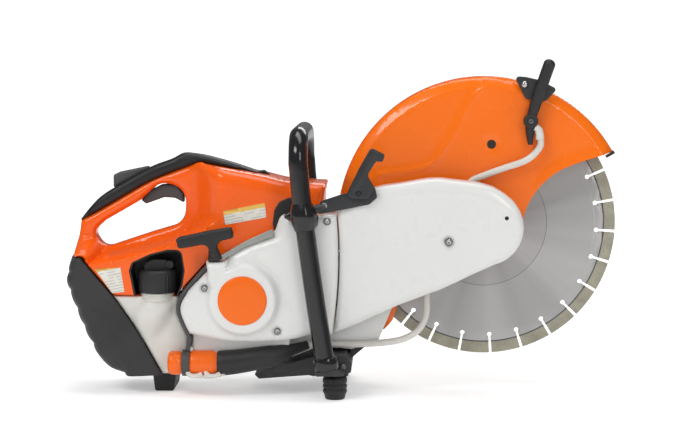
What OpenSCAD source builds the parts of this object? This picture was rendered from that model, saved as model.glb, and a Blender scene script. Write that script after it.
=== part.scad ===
// Concrete cut-off saw: two-stroke engine, belt-driven cutting wheel on an arm, swinging wheel guard.
// X points forward to the wheel, Y away from the starter side, Z up. The floor is Z = 0.

/* [Cutting wheel] */
// Wheel diameter
wheel_d = 350; // [340:1:350]
// Thickness of the diamond segments
segment_t = 3.2; // [2.8:0.1:3.6]
// Radial height of the diamond segments
segment_h = 14.5; // [8:0.5:15]
// Number of segments round the wheel
segment_count = 26; // [18:1:26]
// Turn of the first slot above the level
slot_turn = -3.65; // [-12:0.05:12]
// Diameter of the clamping flanges
flange_d = 103; // [90:1:110]
/* [Guard] */
// Gap between the wheel rim and the guard band
guard_gap = 17.5; // [12:0.5:17.5]
// Thickness of the guard sheet
guard_t = 2.5; // [2:0.5:3]
// Angle of the guard's front end above the horizontal
guard_front = 30; // [28:1:32]
/* [Drive] */
// Distance of the spindle ahead of the origin
spindle_x = 191; // [190:1:192]
// Height of the spindle
spindle_z = 224; // [223:1:225]
// Distance of the crankshaft behind the origin
crank_back = 125; // [124:1:126]
// Height of the crankshaft
crank_z = 130; // [129:1:131]
// Pitch radius of the pulley on the clutch drum
drive_r = 22.3; // [22:0.1:22.5]
// Pitch radius of the pulley on the spindle
driven_r = 41; // [40:0.5:41]
/* [Engine] */
// Cylinder bore
bore_d = 50; // [48:1:50]
// Half of the stroke
crank_throw = 17; // [15:0.5:17]
// Number of cooling fins
fin_count = 10; // [8:1:11]
/* [Body] */
// Half width of the engine hood
hood_half = 62; // [61:1:62]
// Half width of the rear handle
handle_half = 19; // [18:0.5:19]
// Wall of the moulded shells
wall = 3; // [2.5:0.5:3]
// Diameter of the front handle tube
tube_d = 25; // [24:0.5:25]
// Overall width over the front handle
overall_w = 250; // [248:1:250]
/* [Motion] */
// Working clearance of a shaft in its bearing, on the radius
running = 0.04; // [0.02:0.01:0.08]

/* [Hidden] */
$fn = 64;

orange = [0.96, 0.36, 0.06];
white = [0.9, 0.9, 0.88];
black = [0.1, 0.1, 0.11];
dark = [0.2, 0.2, 0.21];
grey = [0.45, 0.46, 0.47];
steel = [0.7, 0.71, 0.72];

spindle = [spindle_x, spindle_z];
crank = [-crank_back, crank_z];
wheel_r = wheel_d / 2;
core_r = wheel_r - segment_h;
wheel_y = -6;
core_half = segment_t / 2 - 0.3;
shaft_r = 8.5;
bearing_r = 17.5;
stub_r = 7.4;
guard_r = wheel_r + guard_gap + guard_t;
guard_near = -34;
guard_far = 22;
boss_r = 22;
tube_r = tube_d / 2;
tube_y = overall_w / 2 - tube_r;
cap_axis = [-241, -50];
// The starter rope and its grip lean back by this angle.
grip_lean = -11.3;

// ---- outlines, in the X and Z directions -------------------------------------------------------
function unit(v) = v / norm(v);
function arc(c, r, a0, a1, n = 16) =
  [for (i = [0:n]) let (a = a0 + (a1 - a0) * i / n) c + r * [cos(a), sin(a)]];

// The corner b between a and c, rounded to radius r.
function fillet(a, b, c, r, n) =
  let (u = unit(a - b), w = unit(c - b), bend = acos(u * w))
  r == 0 || bend > 176 ? [b] :
  let (t = r / tan(bend / 2), m = b + unit(u + w) * r / sin(bend / 2), turn = 180 - bend,
       d0 = b + u * t - m, d1 = b + w * t - m)
  [for (i = [0:n]) m + (d0 * sin(turn * (1 - i / n)) + d1 * sin(turn * i / n)) / sin(turn)];

// A closed outline from corners given as [x, z, radius].
function rounded(p, n = 6) =
  let (k = len(p))
  [for (i = [0:k - 1]) let (a = p[(i + k - 1) % k], b = p[i], c = p[(i + 1) % k])
    each fillet([a.x, a.y], [b.x, b.y], [c.x, c.y], b.z, n)];

// A smooth curve through a few points, in two or three dimensions.
function curve(p, n = 4) =
  let (k = len(p) - 1)
  [for (i = [0:k - 1], j = [0:n - 1])
    let (a = p[max(i - 1, 0)], b = p[i], c = p[i + 1], d = p[min(i + 2, k)], t = j / n)
    (2 * b + t * (c - a) + t * t * (2 * a - 5 * b + 4 * c - d) + t * t * t * (3 * b - a - 3 * c + d)) / 2,
   p[k]];

// Points of a curve as corners that stay sharp.
function sharp(p) = [for (q = p) [q.x, q.y, 0]];
function reversed(p) = [for (i = [len(p) - 1:-1:0]) p[i]];

// A line of points moved sideways by d, and a strip of width w along it.
function beside(p, d) =
  let (k = len(p) - 1)
  [for (i = [0:k]) let (t = unit(p[min(i + 1, k)] - p[max(i - 1, 0)])) p[i] + d * [-t.y, t.x]];
function strip(p, w) = concat(beside(p, w / 2), reversed(beside(p, -w / 2)));

// The seam between the starter cover and the belt cover bows a little.
function seam(z) = -pow((z - 185) / 35, 2);

// Where the belt passes between the two covers.
belt_window = [[-14, 120], [-14, 214], [10, 214], [10, 120]];

gap_line = curve([[-166, 178], [-185, 158], [-205, 134], [-211, 116], [-205, 96], [-197, 79], [-198, 66]]);
starter_left = [for (p = beside(gap_line, 3.5)) if (p.y > 84) p];
starter_outline = rounded(concat(sharp(starter_left),
  sharp(curve([[-160, 77], [-138, 74], [-87, 75], [-58, 78], [-39, 84]], 3)),
  sharp([for (z = [80:20:240]) [seam(z) - 0.6, z]]),
  [[-76, 240, 8], [-84, 218, 8], [-119, 206, 12], [-145, 194, 6], [-150, 180, 2]]));
belt_outline = concat(arc(spindle, 49.5, -76, 56),
  curve([[204, 278], [180, 283], [150, 286], [122, 288], [84, 282], [49, 276], [20, 262], [0, 252]]),
  [for (z = [245:-20:85]) [seam(z) + 0.8, z]],
  curve([[23, 97], [77, 122], [130, 142], [170, 161]], 2));
fan_outline = rounded([[-190, 70, 24], [-40, 68, 10], [-6, 82, 8], [-4, 236, 10], [-75, 240, 8],
  [-88, 218, 10], [-150, 190, 14], [-178, 172, 12], [-207, 122, 24]]);

grip_low = curve([[-347, 228], [-324, 240], [-298, 255], [-262, 276], [-238, 287], [-209, 298],
  [-187, 305], [-175, 302], [-130, 294], [-98, 288]]);
grip_top = curve([[-347, 229], [-334, 245], [-320, 259], [-300, 272], [-256, 297], [-227, 308],
  [-211, 316], [-193, 315], [-176, 312], [-143, 303], [-116, 294], [-94, 287]]);
hood_top = curve([[-98, 288], [-69, 281], [-39, 279], [-18, 278]]);
// Front edge of the skid, which the hood and the tank meet.
skid_edge = [[-343, 180], [-300, 130], [-267, 82], [-236, 27]];
handle_opening = rounded([[-330, 212, 11], [-315, 226, 0], [-268, 253, 16], [-241, 278, 20],
  [-206, 270, 24], [-208, 224, 24], [-252, 211, 0], [-318, 189, 16]], 8);
ring_outline = concat([for (p = grip_low) if (p.x < -190) p],
  [[-190, 210], [-300, 180], [-358, 180], [-354, 200], [-350, 214]]);
wide_outline = concat([for (p = grip_low) if (p.x > -204) p], [for (p = hood_top) if (p.x > -97) p],
  [[-21, 262], [-23, 170], [-160, 170], [-171, 180], [-189, 161], [-210, 137], [-214, 131],
   [-298.5, 131], [-341.5, 181], [-315, 187], [-252, 202], [-215, 214], [-204, 226]]);
recess_outline = rounded([[-271, 128, 0], [-278, 164, 6], [-274, 175, 5], [-250, 186, 0],
  [-227, 192, 8], [-208, 192, 9], [-204, 164, 6], [-207, 145, 6], [-214, 128, 0]]);
skid_outline = concat(skid_edge, [[-236, 25.5], [-262, 24]],
  curve([[-289, 23], [-306, 29], [-318, 39], [-327, 51], [-343, 83], [-357, 118], [-366, 145],
         [-366, 162], [-362, 180]], 3));
tank_outline = concat([[-299, 130], [-266, 82], [-235, 26.5]],
  rounded([[-203, 26.5, 0], [-200.5, 40, 0], [-200.5, 76, 6], [-208, 94, 8], [-215, 108, 8], [-213, 130, 0]]));
case_outline = rounded([[-166, 66, 10], [-166, 166, 8], [-152, 174, 0], [-98, 174, 8], [-60, 148, 20],
  [30, 100, 6], [54, 74, 2], [16, 58, 0], [1, 59.5, 0], [-36, 58.5, 0], [-69, 45, 8], [-92, 52, 8]]);

guard_edge = curve([[356, 319], [337, 313], [310, 304], [286, 293], [267, 277], [254, 260], [246, 244], [240, 222]]);
guard_face = concat(arc(spindle, guard_r, guard_front, 227, 48), [[70, 96], [77, 119]],
  arc(spindle, 38, 222, 330), reversed(guard_edge));

// ---- building blocks ---------------------------------------------------------------------------
// An outline made solid from y0 to y1.
module slab(outline, y0, y1) {
  rotate([90, 0, 0]) translate([0, 0, -y1]) linear_extrude(y1 - y0) polygon(outline);
}

// The same with its outline moved out by grow, or in where grow is negative.
module grown_slab(outline, grow, y0, y1) {
  rotate([90, 0, 0]) translate([0, 0, -y1]) linear_extrude(y1 - y0) offset(r = grow, $fn = 24) polygon(outline);
}

module rod_y(p, r, y0, y1) {
  translate([p.x, y0, p.y]) rotate([-90, 0, 0]) cylinder(r = r, h = y1 - y0);
}

module ring_y(p, r_out, r_in, y0, y1) {
  difference() {
    rod_y(p, r_out, y0, y1);
    rod_y(p, r_in, y0 - 1, y1 + 1);
  }
}

// A round body turned about the Y direction: profile points are [radius, y].
module turned_y(p, profile) {
  translate([p.x, 0, p.y]) rotate([-90, 0, 0]) rotate_extrude() polygon(profile);
}

// A tube swept along a path, with a radius at each point; side is a direction the path never takes.
module swept(path, radii, side, sides = 10) {
  last = len(path) - 1;
  rings = [for (i = [0:last])
    let (t = unit(path[min(i + 1, last)] - path[max(i - 1, 0)]), u = unit(cross(t, side)), v = cross(t, u))
    for (k = [0:sides - 1]) path[i] + radii[i] * (cos(360 * k / sides) * u + sin(360 * k / sides) * v)];
  skin = [for (i = [0:last - 1], k = [0:sides - 1])
    let (a = i * sides, b = a + sides, m = (k + 1) % sides) [a + k, b + k, b + m, a + m]];
  polyhedron(rings, concat([[for (k = [0:sides - 1]) k]], skin,
    [[for (k = [sides - 1:-1:0]) last * sides + k]]));
}

// An open shell: a solid wall thick, closed at its near face.
module shell(outline, y0, y1) {
  difference() {
    slab(outline, y0, y1);
    grown_slab(outline, -wall, y0 + wall, y1 + 1);
  }
}

module screw_head(p, r, y0, h) {
  difference() {
    rod_y(p, r, y0 - h, y0);
    rod_y(p, r / 2, y0 - h - 1, y0 - h / 2, $fn = 6);
  }
}

// ---- engine ------------------------------------------------------------------------------------
module crankcase() {
  color(white) difference() {
    union() {
      slab(case_outline, -42, 42);
      grown_slab(starter_outline, -0.5, -46, -42);
      grown_slab(fan_outline, -0.5, 42, 46);
      difference() {
        grown_slab(starter_outline, -0.5, -57.5, -42);
        grown_slab(starter_outline, -4, -58, -41);
        slab([[-30, 70], [-30, 260], [20, 260], [20, 70]], -58, -46);
      }
      slab([[-198, 84], [-198.5, 62], [-170, 57], [-120, 55], [-78, 52], [-78, 80], [-150, 80], [-188, 92]], -57.5, -50);
      slab([[-90, 49], [-78, 80], [-78, 54]], -57.5, -41);
      slab(rounded([[-30, 62, 2], [-20, 130, 2], [60, 128, 4], [70, 116, 4], [56, 82, 3], [50, 68, 3], [16, 61, 3]]), -45.6, -41.5);
    }
    rod_y(crank, crank_throw + 21, -29.5, 29.5);
    rod_y(crank, bearing_r, -47, 47);
    translate([crank.x, 0, crank.y]) cylinder(d = bore_d + 1, h = 60);
    slab(rounded([[-76, 60, 6], [-70, 140, 6], [-50, 138, 6], [24, 96, 4], [40, 76, 3], [14, 66, 3]]), -36, 47);
    slab([[-160, 176], [-160, 232], [-90, 232], [-90, 176]], -58, -41);
  }
}

module cylinder_block() {
  fin = (bore_d + 34) / 2;
  difference() {
    union() {
      translate([crank.x - 32, -36, 174]) cube([64, 72, 6]);
      translate([crank.x, 0, 174]) cylinder(d = bore_d + 10, h = 74);
      for (i = [0:fin_count - 1])
        translate([crank.x, 0, 186 + i * 6.6]) linear_extrude(2) offset(r = 12) square(2 * (fin - 12), center = true);
      translate([crank.x - fin - 1, -14, 206]) cube([20, 28, 28]);
      translate([crank.x + fin - 19, -16, 200]) cube([20, 32, 28]);
      translate([-98, 0, 238]) cylinder(r = 11, h = 12);
    }
    translate([crank.x, 0, 173]) cylinder(d = bore_d, h = 60);
    translate([-98, 0, 241]) cylinder(r = 7, h = 12);
    translate([crank.x - fin - 2, 0, 218]) rotate([0, 90, 0]) cylinder(r = 10, h = 30);
    translate([crank.x + 20, 0, 212]) rotate([0, 90, 0]) cylinder(r = 11, h = 30);
  }
}

module cylinder_node() { color(steel) cylinder_block(); }

pin_z = crank_z + crank_throw + 62;

module piston() {
  color(steel) difference() {
    translate([crank.x, 0, pin_z - 18]) cylinder(d = bore_d - 0.2, h = 40);
    translate([crank.x, 0, pin_z - 19]) cylinder(d = bore_d - 7, h = 36);
    rod_y([crank.x, pin_z], 6, -30, 30);
  }
  color(grey) rod_y([crank.x, pin_z], 6, -22, 22);
}

// The big-end eye clears the whole circle of the crankpin, so the linkage stays open there.
module connecting_rod() {
  eye = crank_throw + stub_r + 1.4;
  color(grey) difference() {
    union() {
      rod_y([crank.x, pin_z], 10, -6, 6);
      rod_y(crank, eye + 5, -5.5, 5.5);
      translate([crank.x - 5, -4, crank.y + eye]) cube([10, 8, pin_z - crank.y - eye - 8]);
    }
    rod_y([crank.x, pin_z], 6, -7, 7);
    rod_y(crank, eye, -7, 7);
  }
}

module crankshaft() {
  web = crank_throw + 17;
  color(steel) union() {
    rod_y(crank, shaft_r - running, -44, -6.6);
    rod_y(crank, stub_r, -84, -44);
    rod_y(crank, shaft_r - running, 6.6, 60);
    rod_y(crank, 6, 60, 76);
    for (y = [-16, 7]) difference() {
      rod_y(crank, web, y, y + 9);
      for (s = [-1, 1]) slab([[crank.x + s * 14, crank.y + 4], [crank.x + s * 14, crank.y + 60],
        [crank.x + s * 60, crank.y + 60], [crank.x + s * 60, crank.y + 4]], y - 1, y + 10);
    }
    rod_y([crank.x, crank.y + crank_throw], stub_r, -8, 8);
  }
}

module bearing(p, y0, r_in) {
  ring_y(p, bearing_r, bearing_r - 2.6, y0, y0 + 10);
  ring_y(p, r_in + 2.4, r_in, y0, y0 + 10);
  ring_y(p, bearing_r - 2.6, r_in + 2.4, y0 + 3, y0 + 7);
}

module bearings() {
  color(steel) {
    bearing(crank, -42, shaft_r);
    bearing(crank, 32, shaft_r);
    bearing(spindle, -62, shaft_r);
    bearing(spindle, -42, shaft_r);
  }
}

module spark_plug() {
  color(white) translate([-98, 0, 241]) {
    cylinder(r = 6.9, h = 9.4);
    translate([0, 0, 9.4]) cylinder(r = 9, h = 7, $fn = 6);
    translate([0, 0, 16.4]) cylinder(r = 5, h = 10);
  }
  color(black) translate([-98, 0, 267.5]) cylinder(r = 8, h = 9);
}

module muffler() {
  color(grey) difference() {
    union() {
      slab(rounded([[-81, 194, 8], [-81, 258, 8], [-30, 258, 14], [-30, 194, 10]]), -38, 38);
      translate([-32, 20, 216]) rotate([0, 90, 0]) cylinder(r = 9, h = 6);
    }
    slab(rounded([[-78, 197, 6], [-78, 255, 6], [-33, 255, 12], [-33, 197, 8]]), -35, 35);
    translate([-34, 20, 216]) rotate([0, 90, 0]) cylinder(r = 7, h = 12);
  }
}

module carburetor() {
  color(steel) difference() {
    union() {
      translate([-196, -18, 206]) cube([27, 36, 26]);
      translate([-184, 0, 232]) cylinder(r = 8, h = 6);
    }
    translate([-200, 0, 218]) rotate([0, 90, 0]) cylinder(r = 8, h = 36);
  }
}

module air_filter() {
  color(white) difference() {
    translate([-180, -48, 258]) cube([64, 96, 20]);
    translate([-174, -42, 257]) cube([52, 84, 15]);
  }
}

module ignition_coil() {
  color(black) slab(concat(arc(crank, 53.5, 20, 58), arc(crank, 67, 58, 20)), 48, 66);
}

module flywheel() {
  color(steel) difference() {
    union() {
      rod_y(crank, 52, 48, 52);
      ring_y(crank, 52, 46, 51, 58);
      rod_y(crank, 14, 48, 66);
      for (a = [0:22.5:359]) translate([crank.x, 51, crank.y]) rotate([0, a, 0]) translate([14, 0, -1]) cube([33, 17, 2]);
    }
    rod_y(crank, shaft_r - running, 40, 60);
    rod_y(crank, 6, 50, 70);
  }
}

module fan_cover() {
  color(white) difference() {
    union() {
      difference() {
        slab(fan_outline, 46.3, 88);
        grown_slab(fan_outline, -wall, 45, 88 - wall);
      }
      ring_y(crank, 50, 47, 88 - wall, 92);
    }
    for (a = [0:20:359]) translate([crank.x, 80, crank.y]) rotate([0, a, 0]) translate([14, 0, -2.2]) cube([28, 20, 4.4]);
    for (i = [0:4]) translate([-52, 80, 110 + i * 22]) cube([34, 20, 8]);
  }
}

// ---- clutch, belt and starter ------------------------------------------------------------------
module clutch_shoes() {
  color(grey) difference() {
    rod_y(crank, 25.8, -63, -52);
    rod_y(crank, stub_r, -70, -40);
    for (a = [0, 120, 240]) translate([crank.x, -57.5, crank.y]) rotate([0, a, 0])
      translate([21, 0, 0]) cube([16, 20, 5], center = true);
  }
}

// V-grooved rim of a belt pulley, as [radius, y] points from hub to rim and back.
function groove(r) = [[r - 8, -81], [r + 3.4, -81], [r + 3.4, -80], [r - 5.6, -78.9], [r - 5.6, -69.1],
  [r + 3.4, -68], [r + 3.4, -67], [r - 8, -67]];

module clutch_drum() {
  color(grey) turned_y(crank, concat([[stub_r + running, -81]], [for (p = groove(drive_r)) if (p.x > drive_r - 7) p],
    [[30, -67], [30, -50], [27.5, -50], [27.5, -64.6], [stub_r + running, -64.6]]));
}

module driven_pulley() {
  color(grey) difference() {
    turned_y(spindle, concat([[shaft_r - running, -83]], [[14, -83], [14, -76]], groove(driven_r),
      [[14, -72], [14, -66], [shaft_r - running, -66]]));
    for (a = [0:60:359]) translate([spindle.x, -90, spindle.y]) rotate([0, a, 0]) translate([22, 0, 0])
      rotate([-90, 0, 0]) cylinder(r = 5, h = 30);
  }
  color(steel) difference() {
    rod_y(spindle, 12, -88, -83.2, $fn = 6);
    rod_y(spindle, shaft_r - running, -84.2, -80);
  }
}

module drive_belt() {
  color(black) rotate([90, 0, 0]) translate([0, 0, 69.6]) linear_extrude(8.8) difference() {
    hull() {
      translate(crank) circle(r = drive_r + 3);
      translate(spindle) circle(r = driven_r + 3);
    }
    hull() {
      translate(crank) circle(r = drive_r - 5);
      translate(spindle) circle(r = driven_r - 5);
    }
  }
}

module starter_cover() {
  color(white) difference() {
    union() {
      shell(starter_outline, -100, -58);
      slab(rounded([[-174, 179, 3], [-149.5, 179, 2], [-145, 165, 4], [-170, 165, 4]]), -100, -86);
      rod_y(crank, 41, -109, -99);
      rod_y(crank, 6 - running, -108, -86);
    }
    difference() {
      rod_y(crank, 38, -106, -90);
      rod_y(crank, 6 - running, -107, -80);
    }
    translate([-157.5, -93, 165]) rotate([0, grip_lean, 0]) cylinder(r = 2.5, h = 30);
    slab(belt_window, -84, -57);
  }
}

module emblem_disc() { color(orange) rod_y(crank, 32, -111, -109); }

module recoil_spring() {
  color(steel) for (r = [14:5:34]) ring_y(crank, r + 1, r, -105, -98.5);
}

module rope_pulley() {
  color(black) difference() {
    turned_y(crank, [[6, -96.5], [32, -96.5], [32, -95.4], [26, -94.6], [26, -88.9], [32, -88.1], [32, -87], [6, -87]]);
    for (a = [0:72:359]) translate([crank.x, -100, crank.y]) rotate([0, a, 0]) translate([16, 0, 0])
      rotate([-90, 0, 0]) cylinder(r = 4, h = 20);
  }
}

module starter_rope() {
  color(white) ring_y(crank, 29.5, 26, -94.4, -89.1);
}

module starter_grip() {
  color(black) translate([-160.5, -93, 181.4]) rotate([0, grip_lean, 0]) {
    cylinder(r1 = 9.5, r2 = 6.5, h = 9);
    translate([0, 0, 8.9]) cylinder(r = 6.5, h = 16);
    translate([0, 0, 31.5]) rotate([0, 90, 0]) {
      translate([0, 0, -38.5]) cylinder(r = 7.5, h = 61);
      translate([0, 0, -38.5]) sphere(r = 7.5);
      translate([0, 0, 22.5]) sphere(r = 7.5);
    }
  }
}

// ---- arm and belt cover ------------------------------------------------------------------------
module belt_arm() {
  color(grey) difference() {
    union() {
      rotate([90, 0, 0]) translate([0, 0, 46]) linear_extrude(11.5) difference() {
        hull() {
          translate([-50, 136]) circle(r = 34);
          translate(spindle) circle(r = 30);
        }
        hull() {
          translate([36, 167]) circle(r = 14);
          translate([120, 198]) circle(r = 10);
        }
      }
      rod_y(spindle, boss_r, -64, -29);
      rod_y(spindle, 26, -60, -46);
    }
    rod_y(spindle, bearing_r, -62, -32);
    rod_y(spindle, 12, -66, -28);
    for (x = [-62, -34]) rotate([90, 0, 0]) translate([0, 0, 40]) linear_extrude(30) hull() {
      translate([x, 136]) circle(r = 4.5);
      translate([x + 12, 141]) circle(r = 4.5);
    }
  }
}

lock_hole = [spindle.x + 27, spindle.y + 13];
module belt_cover() {
  color(white) difference() {
    union() {
      shell(belt_outline, -94, -58);
      rod_y(lock_hole, 7, -95.5, -92);
    }
    slab(belt_window, -84, -57);
    rod_y(lock_hole, 2.75, -98, -88);
  }
}

// ---- wheel -------------------------------------------------------------------------------------
module spindle_shaft() {
  color(steel) difference() {
    union() {
      rod_y(spindle, shaft_r - running, -84, -2);
      ring_y(spindle, 11, shaft_r - running, -31, -20);
    }
    rod_y(spindle, 5, -20, 0);
  }
}

module clamping_flanges() {
  color(steel) {
    turned_y(spindle, [[shaft_r - running, -20], [16, -20], [21, -12], [flange_d / 2, -10.4],
      [flange_d / 2, wheel_y - core_half], [40, wheel_y - core_half], [40, wheel_y - core_half - 1],
      [10, wheel_y - core_half - 1], [10, wheel_y + core_half], [shaft_r - running, wheel_y + core_half]]);
    turned_y(spindle, [[5, 0.6], [14, 0.6], [21, -0.6], [flange_d / 2, -1.8], [flange_d / 2, wheel_y + core_half],
      [12, wheel_y + core_half], [12, -1.9], [5, -1.9]]);
  }
}

module clamp_bolt() {
  color(steel) union() {
    rod_y(spindle, 5, -18, 2.7);
    rod_y(spindle, 13, 0.6, 2.7);
    rod_y(spindle, 9.6, 2.6, 10.6, $fn = 6);
  }
}

module blade_core() {
  pitch = 360 / segment_count;
  color(steel) difference() {
    rod_y(spindle, core_r - 0.05, wheel_y - core_half, wheel_y + core_half);
    rod_y(spindle, 10, -20, 10);
    for (i = [0:segment_count - 1]) translate([spindle.x, 0, spindle.y]) rotate([0, i * pitch - slot_turn, 0]) {
      translate([core_r - 9, -20, -1.4]) cube([20, 40, 2.8]);
      translate([core_r - 10, -20, 0]) rotate([-90, 0, 0]) cylinder(r = 3, h = 40);
    }
  }
}

module diamond_segments() {
  pitch = 360 / segment_count;
  gap = 0.6;
  color([0.5, 0.52, 0.45]) for (i = [0:segment_count - 1]) let (a = i * pitch + slot_turn)
    slab(concat(arc(spindle, wheel_r, a + gap, a + pitch - gap, 6), arc(spindle, core_r, a + pitch - gap, a + gap, 6)),
      wheel_y - segment_t / 2, wheel_y + segment_t / 2);
}

// ---- guard -------------------------------------------------------------------------------------
module wheel_guard() {
  band = guard_r - guard_t;
  color(orange) difference() {
    union() {
      slab(guard_face, guard_near, guard_near + guard_t);
      slab(concat(arc(spindle, guard_r, guard_front, 227, 48), arc(spindle, band, 227, guard_front, 48)),
        guard_near, guard_far);
      slab(concat(arc(spindle, guard_r, guard_front, 225, 48), arc(spindle, 140, 225, guard_front + 6, 36)),
        guard_far - guard_t, guard_far);
      ring_y(spindle, 34, boss_r + running, guard_near - 4, guard_near + guard_t);
    }
    rod_y(spindle, boss_r + running, -50, 0);
    rod_y([200, 330], 6, -50, 0);
  }
}

module guard_lip() {
  color(black) translate([spindle.x, 0, spindle.y]) rotate([0, -guard_front, 0])
    difference() {
      translate([guard_r - 12, guard_near - 1, -4]) cube([13, guard_far - guard_near + 2, 3.8]);
      translate([guard_r - 13, guard_near + guard_t, -5]) cube([10, guard_far - guard_near - 2 * guard_t, 6]);
    }
}

module guard_handle() {
  color(black) {
    rotate([90, 0, 0]) translate([0, 0, 38]) linear_extrude(13) union() {
      hull() {
        translate([276, 440]) circle(r = 8);
        translate([255, 376]) circle(r = 8);
      }
      hull() {
        translate([255, 376]) circle(r = 8);
        translate([251, 361]) circle(r = 9.6);
      }
      hull() {
        translate([249, 358]) circle(r = 8);
        translate([250, 326]) circle(r = 3);
      }
    }
    slab(rounded([[229, 420, 3], [259, 416, 6], [286, 403, 3], [268, 387, 6], [244, 391, 4]]), -38, guard_near);
    rod_y([251, 361], 7, -38, guard_near);
  }
}

hose_r = 4.4;
upper_route = [[160, -40.3, 242], [164, -40.3, 264], [173, -40.5, 281], [189, -42, 289], [216, -43, 299],
  [242, -44, 308], [256, -45, 318], [264, -46, 330], [263, -46, 342]];
lower_route = [[-41.6, -59.9, 66.1], [-26, -55.5, 68], [-10, -52, 66], [28, -50.5, 66], [66, -50.5, 69],
  [87, -50.5, 74], [104, -50, 85], [114, -48, 104], [115, -44, 128], [118, -41.2, 150],
  [126, -40.4, 180], [142, -40.4, 206]];

module hose(route) {
  path = curve(route, 3);
  color(white) swept(path, [for (p = path) hose_r], [0, 1, 0]);
}

module spray_nozzles() {
  color(white) {
    translate([263, -46, 342.1]) rotate([0, -12, 0]) cylinder(r = 5.2, h = 9);
    rod_y([262.5, 347], 4, -46, guard_near);
    for (y = [guard_near + guard_t, guard_far - guard_t - 8]) translate([262, y, 338]) rotate([-90, 0, 0]) cylinder(r = 4.5, h = 8);
  }
}

// ---- handles, feet and base --------------------------------------------------------------------
leg_line = [[-15, 43], [-18, 56], [-25, 98], [-35, 166], [-44, 233], [-49, 275], [-51, 300]];
module front_handle() {
  bend = 34;
  top = 355 - tube_r;
  near = [for (p = curve(leg_line, 2)) [p.x, -tube_y, p.y]];
  corner = [for (a = [0:15:90]) [-52, -tube_y + bend - bend * cos(a), top - bend + bend * sin(a)]];
  half = concat(near, corner, [[-52, -40, top]]);
  path = concat(half, [for (p = reversed(half)) [p.x, -p.y, p.z]]);
  color(black) swept(path, [for (p = path) tube_r], [1, 0, 0], 12);
}

module front_support() {
  color(dark) {
    slab(rounded([[-29, 52, 4], [-24, 33.5, 3], [16, 33.5, 3], [17, 47, 3], [9, 56.4, 2], [-26, 56.4, 2]]), -94, 94);
    slab([[9, 47], [17.2, 47], [36, 63], [29, 62.5], [16, 57.2]], -38, 38);
    for (s = [-1, 1]) translate([0, s * tube_y, 0])
      slab(rounded([[-30, 33.5, 2], [-29, 38.3, 2], [-2, 42.5, 3], [14, 34, 2]]), -12, 12);
  }
}

module front_feet() {
  color(black) for (s = [-1, 1]) translate([-5, s * 95, 0]) {
    cylinder(r1 = 13, r2 = 16, h = 8);
    translate([0, 0, 8]) cylinder(r = 16, h = 21);
    translate([0, 0, 29]) cylinder(r = 9, h = 4.4);
  }
}

module base_rail() {
  color(black) difference() {
    slab(rounded([[-114, 27, 2], [-32, 50, 2], [-32, 23, 2], [-41, 25, 2], [-107, 20, 3]]), -57, 57);
    slab([[-98, 26], [-98, 10], [-46, 10], [-46, 28]], -50, 50);
  }
}

module rear_foot() {
  color(black) {
    slab(rounded([[-250, 24, 3], [-219, 24, 3], [-222, 0, 3], [-247, 0, 3]]), -36, 36);
    translate([-228, 0, 24]) cylinder(r = 6, h = 2.5);
  }
}

// ---- rear unit ---------------------------------------------------------------------------------
module tank_neck(r0, r1, top) {
  translate([cap_axis.x, cap_axis.y, 0]) {
    translate([0, 0, 80]) cylinder(r1 = 6 + r0, r2 = r1, h = 44);
    translate([0, 0, 124]) cylinder(r = r1, h = top - 124);
  }
}

module fuel_tank() {
  color(white) difference() {
    union() {
      slab(tank_outline, -59.5, 59.5);
      tank_neck(0, 21.5, 134);
    }
    grown_slab(tank_outline, -wall, -56, 56);
    translate([cap_axis.x, cap_axis.y, 110]) cylinder(r = 15, h = 30);
  }
}

module fuel_cap() {
  color(black) translate([cap_axis.x, cap_axis.y, 0]) {
    translate([0, 0, 120]) cylinder(r = 14.5, h = 16);
    translate([0, 0, 134.5]) cylinder(r = 25, h = 27.5);
    translate([0, 0, 162]) cylinder(r1 = 25, r2 = 22, h = 3);
    translate([-18, -4, 160]) cube([36, 8, 19]);
  }
}

trigger_slot = [[-272, 247], [-271, 262], [-258, 276], [-240, 282], [-222, 282], [-210, 275], [-204, 262], [-204, 246]];
module housing_half() {
  difference() {
    union() {
      slab(ring_outline, -handle_half, 0);
      slab(wide_outline, -hood_half, 0);
    }
    slab(handle_opening, -hood_half - 1, 1);
    grown_slab(wide_outline, -wall, -hood_half + wall, 1);
    slab([[-167, 168], [-167, 190], [-19, 190], [-19, 168]], -hood_half - 1, 1);
    slab([[-24, 150], [-24, 275], [-10, 275], [-10, 150]], -hood_half + wall, 1);
    intersection() {
      grown_slab(ring_outline, -wall, -handle_half + wall, 1);
      difference() {
        slab([[-356, 170], [-356, 310], [-180, 310], [-180, 170]], -30, 2);
        grown_slab(handle_opening, wall, -40, 3);
      }
    }
    slab(trigger_slot, -9, 1);
    // The moulding is in two lengths, so that the collision pieces keep out of the handle's opening.
    translate([-248.1, -100, 100]) cube([0.2, 200, 250]);
  }
}

module rear_housing_near() {
  color(orange) difference() {
    housing_half();
    grown_slab(starter_outline, 1.2, -80, -41);
    slab(recess_outline, -80, -20);
    translate([cap_axis.x, cap_axis.y, 120]) cylinder(r = 27, h = 70);
  }
}

module rear_housing_far() {
  color(orange) difference() {
    mirror([0, 1, 0]) housing_half();
    grown_slab(fan_outline, 1.2, 41, 80);
    rod_y([-150, 246], 4.4, 50, 80);
  }
}

module filler_recess() {
  color(black) difference() {
    grown_slab(recess_outline, -0.3, -61, -20.3);
    grown_slab(recess_outline, -2.3, -70, -22.3);
    translate([-290, -70, 110]) cube([100, 60, 21]);
    translate([cap_axis.x, cap_axis.y, 120]) cylinder(r = 27, h = 20);
  }
}

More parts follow.
